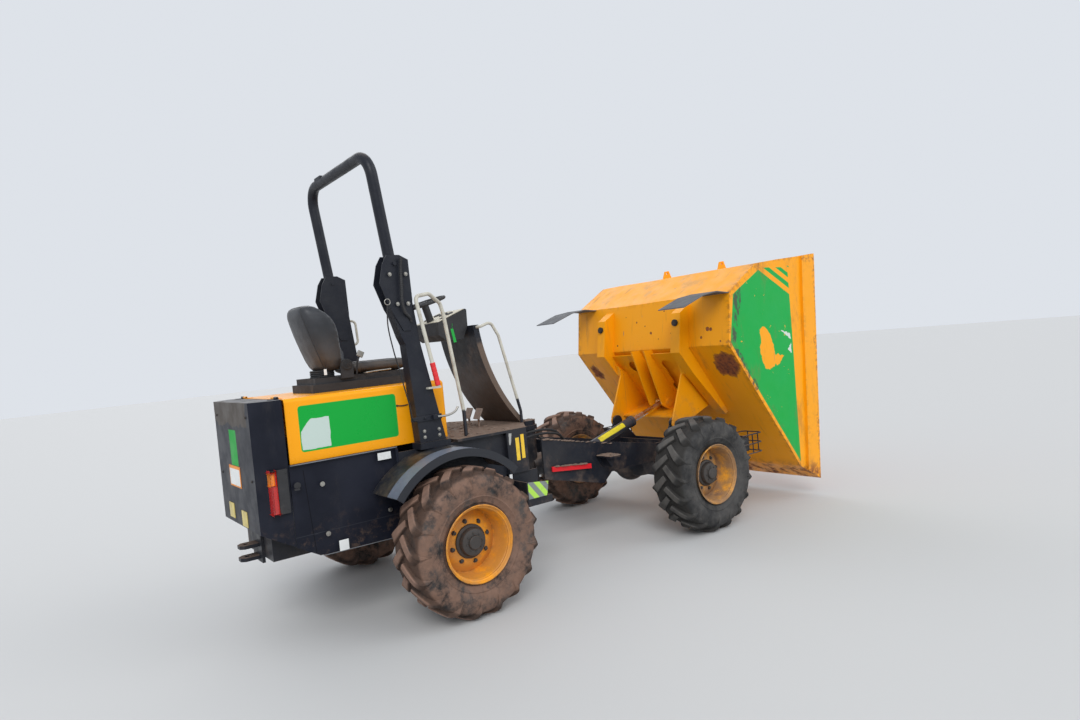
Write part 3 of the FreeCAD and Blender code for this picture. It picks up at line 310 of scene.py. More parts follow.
def rubber(name, mud_colour, mud, centre_x):
    """Tyre rubber with mud packed between the lugs, painted shade in the grooves, paler lug tops and dust on the
    walls.
    """
    f = Finish(name)
    along, high = f.calc("SUBTRACT", f.axis("x"), centre_x), f.calc("SUBTRACT", f.axis("z"), TYRE_R)
    reach = f.calc("SQRT", f.plus(f.times(along, along), f.times(high, high)))
    base = f.blend(f.step(f.noise(14.0, 5.0), 0.35, 0.7), (0.020, 0.020, 0.021), (0.040, 0.039, 0.038))
    dust = f.step(f.noise(4.0, 6.0, 0.65), 0.40, 0.62, 0.0, 0.45)
    base = f.blend(dust, base, (0.105, 0.10, 0.095))
    packed = f.step(f.noise(7.0, 9.0, 0.7), 0.62 - 0.3 * mud, 0.78 - 0.22 * mud)
    pale = tuple(c * 1.9 for c in mud_colour)
    base = f.blend(f.times(packed, min(1.0, mud * 1.15)), base,
                   f.blend(f.noise(22.0, 5.0), mud_colour, pale))
    # A dark band over the groove floors and the lugs' feet: painted shade in the grooves, in a dark mud colour.
    groove_shade = f.both(f.step(reach, 0.478, 0.494), f.step(reach, 0.5315, 0.5185))
    base = f.blend(f.times(groove_shade, 0.72), base, tuple(c * 0.32 for c in mud_colour))
    worn = f.both(f.step(reach, 0.526, 0.534), f.step(f.noise(6.0, 6.0), 0.30, 0.60, 0.25, 0.75))
    base = f.blend(worn, base, tuple(c * 2.3 * (0.4 + 0.6 * mud) + 0.01 for c in mud_colour))
    f.set(Base_Color=base, Roughness=f.step(f.noise(9.0), 0.3, 0.7, 0.6, 0.92))
    rough_skin = f.plus(f.noise(60.0, 5.0), f.times(f.noise(240.0, 2.0), 0.4))
    f.set(Normal=f.bump(rough_skin, 0.004, 0.6), Specular_IOR_Level=0.25)
    return f.material


def plain(name, colour, roughness=0.5, metallic=0.0, dirt=0.25, dirt_colour=MUD, grain=120.0, coat=0.0,
          depth=0.001):
    """A moulded or cast surface with a fine grain and some dirt in it."""
    f = Finish(name)
    tone = f.blend(f.step(f.noise(5.0, 5.0), 0.3, 0.75, 0.0, 0.5), colour,
                   tuple(min(1, c * 1.5 + 0.006) for c in colour))
    cover = f.step(f.noise(8.0, 7.0, 0.7), 0.52, 0.72, 0.0, dirt)
    f.set(Base_Color=f.blend(cover, tone, dirt_colour), Metallic=metallic, Coat_Weight=coat)
    f.set(Roughness=f.step(f.noise(12.0), 0.3, 0.7, roughness, min(1.0, roughness + 0.2)))
    f.set(Normal=f.bump(f.noise(grain, 3.0), depth, 0.5))
    return f.material


def bevel_edges(mesh, width, segments=2, angle=35):
    """Rounds the sharp edges of a bmesh."""
    sharp = [e for e in mesh.edges if len(e.link_faces) == 2 and e.calc_face_angle(0) > math.radians(angle)]
    bmesh.ops.bevel(mesh, geom=sharp, offset=width, segments=segments, profile=0.7, affect="EDGES",
                    clamp_overlap=True)


def new_object(name, mesh, material):
    """An object made of a bmesh, shaded smooth, with its finish."""
    data = bpy.data.meshes.new(name)
    bmesh.ops.recalc_face_normals(mesh, faces=mesh.faces)
    mesh.to_mesh(data)
    mesh.free()
    obj = bpy.data.objects.new(name, data)
    bpy.context.collection.objects.link(obj)
    data.shade_smooth()
    data.materials.append(material)
    return obj


def piece(name, mesh, body, material, smooth=40, replaces=()):
    """A piece made of a bmesh that rides on a body; edges over smooth degrees are sharp."""
    obj = new_object(name, mesh, material)
    data = obj.data
    for edge, angle in zip(data.edges, edge_angles(data)):
        edge.use_edge_sharp = angle > math.radians(smooth)
    if replaces:
        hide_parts(*replaces)
    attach(obj, body)
    return obj


def edge_angles(data):
    """The angle between the two faces at each edge of a mesh."""
    mesh = bmesh.new()
    mesh.from_mesh(data)
    angles = [e.calc_face_angle(0) if len(e.link_faces) == 2 else 0 for e in mesh.edges]
    mesh.free()
    return angles


def add_box(mesh, low, high, turn=None):
    """A block between two measured corners, turned about its middle."""
    low, high = at(*low), at(*high)
    made = bmesh.ops.create_cube(mesh, size=1.0)["verts"]
    middle, size = (low + high) / 2, high - low
    for v in made:
        v.co = Vector((v.co.x * size.x, v.co.y * size.y, v.co.z * size.z)) + middle
    if turn is not None:
        bmesh.ops.rotate(mesh, verts=made, cent=middle, matrix=turn)


def add_disc(mesh, start, end, radius, end_radius=None, count=32):
    """A round bar or cone between two measured points."""
    start, end = at(*start), at(*end)
    line = end - start
    turn = line.to_track_quat("Z", "Y").to_matrix().to_4x4()
    place = Matrix.Translation((start + end) / 2) @ turn
    bmesh.ops.create_cone(mesh, cap_ends=True, segments=count, radius1=radius,
                          radius2=radius if end_radius is None else end_radius,
                          depth=line.length, matrix=place)


def add_bolt(mesh, place, out, radius=0.010, height=0.008):
    """A hexagon head with its washer and a rounded top."""
    place, out = Vector(place), Vector(out).normalized()
    add_disc(mesh, place, place + out * 0.002, radius * 1.35, count=24)
    add_disc(mesh, place + out * 0.002, place + out * height, radius, count=6)
    add_disc(mesh, place + out * height, place + out * (height + radius * 0.25), radius * 0.82,
             radius * 0.5, count=12)


def add_plate(mesh, outline, low, high):
    """An outline of (x, z) points made solid between two places across the machine."""
    rings = [[mesh.verts.new(at(a, depth, b)) for a, b in outline] for depth in (low, high)]
    mesh.faces.new(rings[0])
    mesh.faces.new(rings[1][::-1])
    for i in range(len(outline)):
        j = (i + 1) % len(outline)
        mesh.faces.new((rings[0][i], rings[1][i], rings[1][j], rings[0][j]))


def smooth_path(points, steps=8):
    """Catmull-Rom points through the measured points."""
    points = [at(*p) for p in points]
    ends = [points[0] * 2 - points[1]] + points + [points[-1] * 2 - points[-2]]
    path = []
    for a, b, c, d in zip(ends, ends[1:], ends[2:], ends[3:]):
        for k in range(steps):
            t = k / steps
            path.append(0.5 * (b * 2 + (c - a) * t + (a * 2 - b * 5 + c * 4 - d) * t * t
                               + (b * 3 - a - c * 3 + d) * t ** 3))
    return path + [points[-1]]


def add_tube(mesh, path, radius, count=12):
    """A round tube along a path of frame points; radius may vary by a function of 0 to 1."""
    normal = None
    rings = []
    for i, point in enumerate(path):
        line = (path[min(i + 1, len(path) - 1)] - path[max(i - 1, 0)]).normalized()
        if normal is None:
            normal = line.orthogonal().normalized()
        normal = (normal - line * normal.dot(line)).normalized()
        side = line.cross(normal)
        r = radius(i / (len(path) - 1)) if callable(radius) else radius
        ring = []
        for k in range(count):
            turn = 2 * math.pi * k / count
            ring.append(mesh.verts.new(point + (normal * math.cos(turn) + side * math.sin(turn)) * r))
        rings.append(ring)
    for near, far in zip(rings, rings[1:]):
        for k in range(count):
            j = (k + 1) % count
            mesh.faces.new((near[k], near[j], far[j], far[k]))
    mesh.faces.new(rings[0][::-1])
    mesh.faces.new(rings[-1])


def add_turned(mesh, profile, centre, side, count):
    """A closed (radius, width) profile revolved about a wheel's axis; width grows outwards."""
    middle = at(*centre)
    rings = []
    for k in range(count):
        turn = 2 * math.pi * k / count
        rings.append([mesh.verts.new(middle + Vector((r * math.cos(turn), side * w, r * math.sin(turn))))
                      for r, w in profile])
    for near, far in zip(rings, rings[1:] + rings[:1]):
        for i in range(len(profile)):
            j = (i + 1) % len(profile)
            mesh.faces.new((near[i], near[j], far[j], far[i]))


def dented(name, node, body, material, grid, depth, scale, seed):
    """A copy of a CAD node cut into a grid and gently dented, kept inside the node's box."""
    low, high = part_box(node)
    mesh = bmesh.new()
    mesh.from_mesh(frame["nodes"][node].data)
    bmesh.ops.remove_doubles(mesh, verts=mesh.verts, dist=1e-5)
    bmesh.ops.dissolve_limit(mesh, angle_limit=math.radians(1), verts=mesh.verts, edges=mesh.edges)
    for axis in range(3):
        count = int((high[axis] - low[axis]) / grid)
        for k in range(1, count + 1):
            place = Vector((0, 0, 0))
            place[axis] = low[axis] + (high[axis] - low[axis]) * k / (count + 1)
            normal = Vector((0, 0, 0))
            normal[axis] = 1
            geometry = mesh.verts[:] + mesh.edges[:] + mesh.faces[:]
            bmesh.ops.bisect_plane(mesh, geom=geometry, plane_co=place, plane_no=normal, dist=1e-5)
    noise.seed_set(NOISE_SEED)
    for v in mesh.verts:
        place = v.co * scale + Vector((seed, seed, seed))
        move = noise.noise_vector(place) * depth + noise.noise_vector(place * 3.1) * depth * 0.3
        v.co += move
        v.co = Vector([min(max(v.co[i], low[i]), high[i]) for i in range(3)])
    bmesh.ops.triangulate(mesh, faces=[f for f in mesh.faces if len(f.verts) > 4])
    piece(name, mesh, body, material, 25, (node,))


def finish_node(node, material):
    """Gives a CAD node that stays its finish."""
    data = frame["nodes"][node].data
    data.materials.clear()
    data.materials.append(material)


# Painted and worn areas of the skip's side, as (x, z) points
SKIP_GREEN = [(3.574, 2.437), (4.076, 2.171), (4.026, 0.40), (3.034, 1.743), (3.13, 2.205)]
WORN_AREAS = ([(3.505, 1.83), (3.60, 1.855), (3.67, 1.80), (3.75, 1.55), (3.72, 1.43), (3.56, 1.43),
               (3.50, 1.58)],
              [(3.70, 1.56), (3.89, 1.54), (3.74, 1.43)])
SCRATCHES = ([(3.87, 1.80), (4.02, 1.76), (4.03, 1.70), (3.95, 1.75)],
             [(3.96, 1.60), (4.03, 1.66), (4.03, 1.55)])
RUST_AREAS = ([(-0.80, 1.42), (-0.79, 1.50), (-0.87, 1.63), (-1.0, 1.66), (-1.11, 1.60), (-1.11, 1.47),
               (-1.0, 1.38)],
              [(0.98, 1.58), (1.08, 1.56), (1.10, 1.42), (0.96, 1.37), (0.90, 1.46)])
SKIP_SCUFFS = ([(3.135, 2.19), (3.25, 2.28), (3.26, 2.20), (3.17, 1.90), (3.11, 1.72), (3.06, 1.74)],
               [(3.08, 1.68), (3.16, 1.66), (3.42, 1.26), (3.37, 1.22)])
RUST_SPOTS = [(-0.09, 1.90, 0.016), (0.13, 2.03, 0.010), (-0.38, 1.88, 0.013), (0.43, 1.79, 0.010),
              (-0.28, 2.12, 0.008), (-0.78, 1.81, 0.014), (-1.02, 1.76, 0.010), (-0.86, 1.89, 0.022),
              (-0.90, 1.885, 0.018), (0.0, 1.98, 0.008), (-0.2, 1.83, 0.007), (0.3, 2.1, 0.006)]


def diagonal_stripe(low, high):
    """A green stripe over the skip's green area, between two distances from its top edge."""
    def end(distance):
        """Where the stripe's edge meets the right and the top side."""
        return (4.078, 2.171 + 1.131 * distance), (3.574 + (1.131 * distance - 0.02) / 0.53, 2.457)
    (right_low, top_low), (right_high, top_high) = end(low), end(high)
    return [right_low, right_high, top_high, top_low]


def skip_side(f):
    """Green area of the skip's sides, worn through in places, with its scratches."""
    shapes = [f.polygon("xz", SKIP_GREEN, 0.002, 0.006, 9.0)]
    for ends in ((0.055, 0.105), (0.155, 0.20), (0.245, 0.27)):
        shapes.append(f.polygon("xz", diagonal_stripe(*ends)))
    worn = f.either(*[f.polygon("xz", area, 0.002, 0.09, 11.0) for area in WORN_AREAS])
    chip = f.step(f.noise(13.0, 8.0, 0.7), 0.66, 0.68)
    keep = f.calc("SUBTRACT", 1.0, f.either(worn, chip))
    return f.both(f.either(*shapes), keep, f.outwards())


def skip_paint(name):
    """Yellow paint of the skip: green sides, rust, scrapes, streaks of dirt and a worn lip."""
    f = Finish(name)
    fade = f.step(f.noise(1.3, 3.0), 0.35, 0.7, 0.0, 0.5)
    base = f.blend(fade, YELLOW, (0.92, 0.36, 0.012))
    green_mask = skip_side(f)
    base = f.blend(green_mask, base, f.blend(f.noise(3.0), GREEN, (0.0, 0.36, 0.07)))
    white = f.either(*[f.polygon("xz", area, 0.002, 0.05, 30.0) for area in SCRATCHES])
    white = f.both(white, f.outwards())
    base = f.blend(white, base, (0.6, 0.66, 0.6))
    streaks = f.step(f.noise(11.0, 7.0, 0.7, stretch=(0.25, 1.0, 0.10)), 0.55, 0.72, 0.0, 0.42)
    base = f.blend(streaks, base, (0.20, 0.10, 0.035))
    top_dust = f.both(f.up(0.35, 0.8), f.step(f.noise(3.0, 8.0, 0.7), 0.48, 0.70), 0.42)
    base = f.blend(top_dust, base, (0.34, 0.24, 0.14))
    scrape = f.step(f.noise(16.0, 6.0, 0.6, stretch=(1.0, 1.0, 0.07)), 0.70, 0.73, 0.0, 0.8)
    base = f.blend(scrape, base, f.blend(f.noise(40.0), RUST, STEEL))
    behind = f.step(f.normal("x"), -0.05, -0.2)
    zones = [f.polygon("yz", area, 0.045, 0.10, 16.0) for area in RUST_AREAS]
    speckle = f.times(f.noise(60.0, 7.0, 0.7), 0.9)
    worn_in = f.plus(f.either(*zones), f.calc("SUBTRACT", speckle, 0.45))
    patch_mask = f.both(f.step(worn_in, 0.48, 0.66), f.step(f.axis("x"), 3.34, 3.30), f.either(*zones), behind)
    spots = f.both(f.discs("yz", RUST_SPOTS, 0.3), f.step(f.axis("x"), 3.10, 3.08), behind)
    edge = f.both(f.edges(0.51, 0.60), f.step(f.noise(21.0, 6.0), 0.45, 0.6))
    lip = f.both(f.step(f.axis("z"), 0.46, 0.24), f.step(f.noise(8.0, 8.0, 0.7), 0.42, 0.6))
    pits = f.both(f.step(f.cells(30.0), 0.10, 0.04), f.step(f.noise(3.0, 5.0), 0.62, 0.68))
    rust_mask = f.either(patch_mask, spots, f.times(edge, 0.75), lip, pits)
    tone = f.blend(f.step(f.noise(30.0, 6.0), 0.34, 0.62), (0.115, 0.042, 0.026), RUST_BRIGHT)
    base = f.blend(rust_mask, base, tone)
    rubbed = [f.polygon("xz", area, 0.004, 0.05, 26.0) for area in SKIP_SCUFFS]
    rubbed = f.both(f.either(*rubbed), f.outwards(),
                    f.step(f.noise(24.0, 7.0, 0.7, stretch=(0.6, 1.0, 0.3)), 0.44, 0.54))
    base = f.blend(f.times(rubbed, 0.85), base, (0.055, 0.050, 0.048))
    rough = f.either(f.step(f.noise(7.0), 0.3, 0.7, 0.34, 0.52), f.times(rust_mask, 0.85))
    rough = f.either(rough, f.times(top_dust, 1.3))
    f.set(Base_Color=base, Roughness=rough)
    height = f.plus(f.times(rust_mask, -0.35), f.noise(5.0, 3.0))
    f.set(Normal=f.bump(height, 0.004, 0.4))
    f.set(Specular_IOR_Level=0.28)
    return f.material


def muddy_black(name, amount=0.7, top=1.3, patches=()):
    """Black chassis paint with mud splashed on it, and more on what faces up."""
    f = Finish(name)
    base = f.blend(f.step(f.noise(4.0, 5.0), 0.35, 0.7), BLACK, (0.020, 0.022, 0.028))
    ledge = f.times(f.up(0.4, 0.8), 0.30)
    low = f.times(f.step(f.axis("z"), top, 0.2), 0.16)
    cloud = f.plus(f.noise(3.4, 9.0, 0.66), f.plus(ledge, low))
    cover = f.times(f.step(cloud, 0.56, 0.86), amount)
    film = f.step(f.noise(2.1, 6.0, 0.6), 0.40, 0.70, 0.0, 0.30 * amount)
    base = f.blend(film, base, (0.060, 0.052, 0.046))
    base = f.blend(cover, base, f.blend(f.noise(19.0, 5.0), MUD, MUD_DRY))
    for area in patches:
        base = f.blend(area["mask"](f), base, area["colour"])
    f.set(Base_Color=base, Roughness=f.either(f.step(f.noise(9.0), 0.3, 0.7, 0.34, 0.5),
                                            f.times(cover, 0.95)))
    f.set(Normal=f.bump(f.plus(f.times(cover, 1.2), f.noise(30.0, 4.0)), 0.004, 0.5))
    f.set(Specular_IOR_Level=0.25)
    return f.material


def body_black(name, patches=()):
    """Satin black body panels with a film of dust and rain marks."""
    f = Finish(name)
    base = f.blend(f.step(f.noise(2.0, 4.0), 0.3, 0.7), (0.0095, 0.011, 0.018), (0.018, 0.020, 0.030))
    film = f.step(f.noise(7.0, 8.0, 0.7, stretch=(1.0, 1.0, 0.35)), 0.52, 0.76, 0.0, 0.22)
    base = f.blend(film, base, (0.075, 0.065, 0.058))
    splash = f.both(f.step(f.axis("z"), 0.95, 0.6), f.step(f.noise(11.0, 9.0, 0.75), 0.5, 0.66), 0.6)
    base = f.blend(splash, base, MUD)
    top = f.both(f.up(0.5, 0.9), f.step(f.noise(5.0, 7.0, 0.7), 0.42, 0.62), 0.5)
    base = f.blend(top, base, (0.15, 0.12, 0.095))
    for area in patches:
        base = f.blend(area["mask"](f), base, area["colour"])
    scuffs = f.step(f.noise(20.0, 7.0, 0.6, stretch=(0.2, 0.2, 1.0)), 0.70, 0.75, 0.0, 0.35)
    base = f.blend(scuffs, base, (0.12, 0.12, 0.13))
    f.set(Base_Color=base, Roughness=f.either(f.step(f.noise(6.0), 0.3, 0.7, 0.30, 0.44),
                                            f.times(f.either(splash, top), 1.2)))
    f.set(Normal=f.bump(f.plus(f.noise(2.6, 2.0), f.times(f.noise(180.0, 2.0), 0.06)), 0.003, 0.3))
    f.set(Specular_IOR_Level=0.12)
    return f.material


def rail_finish(name):
    """Off-white hand rails with dark feet, and dirt where hands hold them."""
    f = Finish(name)
    base = f.blend(f.step(f.noise(9.0, 6.0), 0.42, 0.72, 0.0, 0.5), (0.56, 0.54, 0.46), (0.24, 0.21, 0.17))
    chips = f.step(f.noise(40.0, 6.0, 0.7), 0.66, 0.72, 0.0, 0.8)
    base = f.blend(chips, base, (0.05, 0.04, 0.035))
    foot = f.step(f.plus(f.axis("z"), f.times(f.noise(20.0), 0.05)), 1.475, 1.455)
    base = f.blend(foot, base, BLACK)
    f.set(Base_Color=base, Roughness=f.step(f.noise(12.0), 0.3, 0.7, 0.36, 0.52))
    return f.material


BONNET_GREEN = [(-0.982, 1.318), (-0.245, 1.318), (-0.245, 1.64), (-0.982, 1.64)]
BONNET_LABEL = [(-0.975, 1.331), (-0.767, 1.331), (-0.767, 1.543), (-0.90, 1.543), (-0.975, 1.46)]


def rounded(points, radius=0.02, steps=4):
    """A rectangle of (u, v) points with rounded corners."""
    (u0, v0), (u1, v1) = points[0], points[2]
    outline = []
    for cu, cv, start in ((u1 - radius, v1 - radius, 0), (u0 + radius, v1 - radius, 90),
                          (u0 + radius, v0 + radius, 180), (u1 - radius, v0 + radius, 270)):
        for k in range(steps + 1):
            turn = math.radians(start + 90 * k / steps)
            outline.append((cu + radius * math.cos(turn), cv + radius * math.sin(turn)))
    return outline


bonnet_patches = [
    patch(GREEN, ("xz", rounded(BONNET_GREEN, 0.02, 2)), sideways=True),
    patch((0.50, 0.60, 0.55), ("xz", BONNET_LABEL), ragged=0.02, sideways=True),
]
shell_patches = [
    patch((0.055, 0.042, 0.032), ("yz", [(-0.40, 1.53), (0.50, 1.53), (0.50, 1.72), (-0.40, 1.72)]),
          ragged=0.16, facing=[("x", -1.27, -1.28)]),
    patch(GREEN, ("yz", [(-0.088, 1.240), (0.098, 1.240), (0.098, 1.50), (-0.088, 1.50)]),
          facing=[("x", -1.27, -1.28)]),
]

MAT = {
    "skip": skip_paint("skip_paint"),
    "bonnet": painted("bonnet_paint", YELLOW, gloss=0.26, mud=0.0, wear=0.0, chips=0.0,
                      patches=bonnet_patches),
    "skip_beams": painted("skip_beam_paint", YELLOW, gloss=0.36, mud=0.35, mud_top=1.45, wear=0.0, chips=0.7,
                          streaks=0.30),
    "frame": muddy_black("chassis_paint", 0.75),
    "frame_clean": muddy_black("hoop_paint", 0.12, 0.9),
    "shell": body_black("rear_body_panels", shell_patches),
    "mud_floor": muddy_black("floor_mud", 1.0, 3.0),
    "chrome": plain("chromed_rod", (0.62, 0.62, 0.62), 0.16, 1.0, 0.12, MUD),
    "rail": rail_finish("rail_paint"),
    "plastic": plain("moulded_black", (0.016, 0.016, 0.018), 0.55, 0.0, 0.3, (0.08, 0.07, 0.06)),
    "flap": plain("mudguard_flap", (0.085, 0.088, 0.095), 0.6, 0.0, 0.35, (0.14, 0.12, 0.10)),
    "rubber": plain("black_rubber", (0.013, 0.013, 0.014), 0.7, 0.0, 0.35, MUD),
    "steel": plain("plated_steel", (0.36, 0.35, 0.32), 0.4, 1.0, 0.35, RUST),
    "hub": plain("greasy_hub", (0.048, 0.043, 0.040), 0.5, 0.3, 0.6, (0.10, 0.075, 0.06)),
    "red": painted("lock_red", (0.62, 0.010, 0.018), 0.35, mud=0.25, mud_top=1.0, wear=0.0, chips=0.3),
    "label": plain("blank_label", (0.66, 0.68, 0.66), 0.4, 0.0, 0.25, (0.3, 0.28, 0.25)),
    "amber": plain("amber_lens", (0.72, 0.20, 0.012), 0.15, 0.0, 0.15, MUD, coat=0.6),
    "lens_red": plain("red_lens", (0.42, 0.010, 0.008), 0.16, 0.0, 0.18, MUD, coat=0.6),
    "lens": plain("lamp_glass", (0.42, 0.44, 0.45), 0.12, 0.1, 0.3, MUD, coat=0.5),
    "reflector": plain("reflector", (0.62, 0.50, 0.16), 0.3, 0.0, 0.3, MUD),
    "cream": plain("dash_cream", (0.50, 0.46, 0.36), 0.5, 0.0, 0.35, MUD_DRY),
    "green": plain("green_tag", GREEN, 0.4, 0.0, 0.2, MUD),
    "orange": plain("orange_border", (0.75, 0.24, 0.02), 0.4, 0.0, 0.2, MUD),
    "rim": painted("rim_paint", (0.88, 0.34, 0.008), 0.34, mud=0.45, mud_top=1.4, wear=0.5),
    "rim_rusty": painted("rim_paint_rusty", (0.82, 0.36, 0.03), 0.4, mud=0.8, mud_top=1.6, wear=0.8, rust=0.85),
    "tyre_brown": rubber("tyre_muddy_rear", (0.125, 0.074, 0.053), 0.92, 0.0),
    "tyre_brown_front": rubber("tyre_muddy_front", (0.125, 0.074, 0.053), 0.92, WHEELBASE),
    "tyre_black": rubber("tyre_black", (0.085, 0.078, 0.070), 0.30, WHEELBASE),
}

NODE_FINISH = {
    "frame": ("rear_frame", "pivot_yoke", "trunnion", "front_frame", "rear_axle", "front_axle",
              "tow_hitch", "engine", "steering_barrel", "lamp_guards", "steps"),
    "frame_clean": ("rops_post_left", "rops_post_right", "rops_hoop"),
    "skip_beams": ("skip_frame", "lifting_eyes"),
    "shell": ("rear_shell",),
    "bonnet": ("bonnet",),
    "mud_floor": ("floor_plate",),
    "chrome": ("ram_rod", "steering_rod"),
    "rail": ("grab_rails",),
    "plastic": ("dash", "seat_plinth", "steering_wheel", "headlamps"),
    "flap": ("skip_guards",),
    "rubber": ("skip_buffers",),
    "red": ("lock_bar",),
    "frame_ram": ("ram_barrel",),
}


def ram_paint():
    """Black barrel of the tipping ram, with a yellow strip on top."""
    f = Finish("ram_paint")
    base = f.blend(f.noise(5.0), (0.020, 0.023, 0.032), (0.045, 0.050, 0.062))
    strip = f.polygon("xz", [(2.20, 0.845), (2.56, 0.95), (2.53, 1.05), (2.17, 0.945)], 0.003, 0.01)
    base = f.blend(f.both(strip, f.step(f.axis("y"), -0.015, -0.02)), base, (0.75, 0.62, 0.02))
    mud = f.both(f.up(0.3, 0.9), f.step(f.noise(7.0, 8.0, 0.7), 0.45, 0.62), 0.6)
    f.set(Base_Color=f.blend(mud, base, MUD), Roughness=f.either(0.38, f.times(mud, 1.4)))
    f.set(Normal=f.bump(f.noise(50.0, 4.0), 0.002, 0.4))
    return f.material


MAT["frame_ram"] = ram_paint()
for finish, nodes in NODE_FINISH.items():
    for node in nodes:
        finish_node(node, MAT[finish])


LUG_COUNT = 17
LUG_START = 0.03
WHEEL_ROUND = 120
BODY_SIDE = 0.600
LUG_T = 0.062
GROOVE = 0.032
LUG_ANGLE = math.radians(42)
TYRE_W = 0.390


def add_lug(mesh, centre, side, hand, turn):
    """One rubber bar with eased edges, wrapped over the crown and shoulder of a tyre."""
    reach = (TYRE_W / 2 - LUG_T / 2 * math.sin(LUG_ANGLE)) / math.cos(LUG_ANGLE)
    middle = at(*centre)
    stations = [(-0.03, 0.0, 0.80), (0.10, 0.0, 0.84), (0.3, 0.0, 0.92), (0.5, 0.001, 1.0), (0.66, 0.004, 1.10),
                (0.80, 0.012, 1.20), (0.92, 0.028, 1.27), (0.985, 0.052, 1.27), (1.0, 0.082, 1.15)]
    rings = []
    for share, drop, wide in stations:
        along_bar = share * reach
        ring = []
        foot = GROOVE + 0.005 + (0.02 if share > 0.9 else 0.0)
        half = LUG_T / 2 * wide
        for across, depth in ((-half * 1.18, foot), (-half * 1.03, 0.006), (-half * 0.88, 0.0),
                              (half * 0.88, 0.0), (half * 1.03, 0.006), (half * 1.18, foot)):
            ring_x = -(along_bar - reach / 2) * math.sin(LUG_ANGLE) + across * math.cos(LUG_ANGLE)
            width = along_bar * math.cos(LUG_ANGLE) + across * math.sin(LUG_ANGLE)
            width = min(width, TYRE_W / 2)
            radius = TYRE_R - drop - depth
            angle = turn + ring_x / TYRE_R
            ring.append(mesh.verts.new(middle + Vector((radius * math.sin(angle), side * hand * width,
                                                        radius * math.cos(angle)))))
        rings.append(ring)
    for near, far in zip(rings, rings[1:]):
        for i in range(5):
            mesh.faces.new((near[i], near[i + 1], far[i + 1], far[i]))
    mesh.faces.new(rings[0])
    mesh.faces.new(rings[-1])


def make_tyre(end, side_name, side, centre_x, material, seed):
    """A lugged tyre with its bead, wall ribs, worn lug edges and lumps of mud."""
    mesh = bmesh.new()
    centre = (centre_x, side * WHEEL_Y, TYRE_R)
    crown = TYRE_R - GROOVE
    half = TYRE_W / 2
    wall = [(0.2545, 0.72), (0.268, 0.775), (0.287, 0.80), (0.292, 0.835), (0.302, 0.85), (0.330, 0.905),
            (0.334, 0.925), (0.340, 0.925), (0.344, 0.912), (0.375, 0.965), (0.415, 0.985), (0.440, 0.975),
            (0.466, 0.945), (0.484, 0.88), (0.496, 0.78), (0.503, 0.60), (crown, 0.40), (crown, 0.12)]
    profile = [(r, -w * half) for r, w in wall] + [(r, w * half) for r, w in wall[::-1]]
    add_turned(mesh, profile, centre, side, WHEEL_ROUND)
    pitch = 2 * math.pi / LUG_COUNT
    for hand, offset in ((1, 0.0), (-1, pitch / 2)):
        for k in range(LUG_COUNT):
            add_lug(mesh, centre, side, hand, offset + k * pitch + LUG_START)
    middle = at(*centre)
    for v in mesh.verts:
        place = v.co * 9.0 + Vector((seed, 0, 0))
        out = Vector((v.co.x - middle.x, 0, v.co.z - middle.z))
        radius = out.length
        if radius > 0.30:
            lump = noise.noise(place) * 0.0035 + noise.noise(place * 3.7) * 0.0015
            room = TYRE_R - 0.0005 - radius
            v.co += out.normalized() * min(lump, room)
            inside = abs(v.co.y) < abs(middle.y) + half - 0.004
            v.co.y += side * noise.noise(place * 1.7) * 0.002 * (0.6 if inside else 0)
    piece("tyre_%s_%s_rubber" % (end, side_name), mesh, "wheel_%s_%s" % (end, side_name), material,
          32, ("tyre_%s_%s" % (end, side_name),))


def make_rim(end, side_name, side, centre_x, material):
    """A dished rim with rolled flanges and a valve, and a stepped hub with its nuts."""
    body = "wheel_%s_%s" % (end, side_name)
    centre = (centre_x, side * WHEEL_Y, TYRE_R)
    mesh = bmesh.new()
    profile = [
        (0.100, -0.142), (0.108, -0.142), (0.108, 0.020), (0.150, 0.012), (0.200, -0.012), (0.222, -0.022),
        (0.2415, -0.030), (0.2415, -0.150), (0.262, -0.160), (0.272, -0.172), (0.279, -0.180), (0.277, -0.184),
        (0.268, -0.180), (0.2535, -0.163), (0.2535, 0.163), (0.262, 0.168), (0.268, 0.180), (0.273, 0.1845),
        (0.279, 0.181), (0.276, 0.172), (0.262, 0.158), (0.250, 0.148), (0.2415, 0.120), (0.238, 0.020),
        (0.228, -0.004), (0.210, 0.006), (0.190, 0.020), (0.160, 0.034), (0.128, 0.038), (0.104, 0.038),
        (0.100, 0.036),
    ]
    add_turned(mesh, profile, centre, side, WHEEL_ROUND)
    valve = math.radians(130)
    foot = Vector(centre) + Vector((math.cos(valve), 0, math.sin(valve))) * 0.225
    add_tube(mesh, [at(*(foot + Vector((0, side * d, 0)))) for d in (0.0, 0.03, 0.055)], 0.005, 10)
    piece("rim_%s_%s_steel" % (end, side_name), mesh, body, material, 30,
          ("rim_%s_%s" % (end, side_name),))
    hub = bmesh.new()
    hub_profile = [(0.0, -0.141), (0.099, -0.141), (0.099, 0.0365), (0.121, 0.0370), (0.124, 0.041), (0.122, 0.052),
                   (0.112, 0.058), (0.104, 0.060), (0.101, 0.086), (0.095, 0.096), (0.080, 0.101), (0.052, 0.103),
                   (0.050, 0.116), (0.044, 0.121), (0.0, 0.122)]
    add_turned(hub, hub_profile, centre, side, 64)
    bmesh.ops.remove_doubles(hub, verts=hub.verts, dist=1e-6)
    for count, radius, width, size, turn0 in ((8, 0.150, 0.033, 0.0145, 11), (8, 0.066, 0.100, 0.006, 5)):
        for k in range(count):
            turn = math.radians(360 / count * k + turn0)
            spot = Vector(centre) + Vector((math.cos(turn), 0, math.sin(turn))) * radius
            add_bolt(hub, spot + Vector((0, side * width, 0)), (0, side, 0), size, size * 1.1)
    piece("hub_%s_%s" % (end, side_name), hub, body, MAT["hub"], 30)


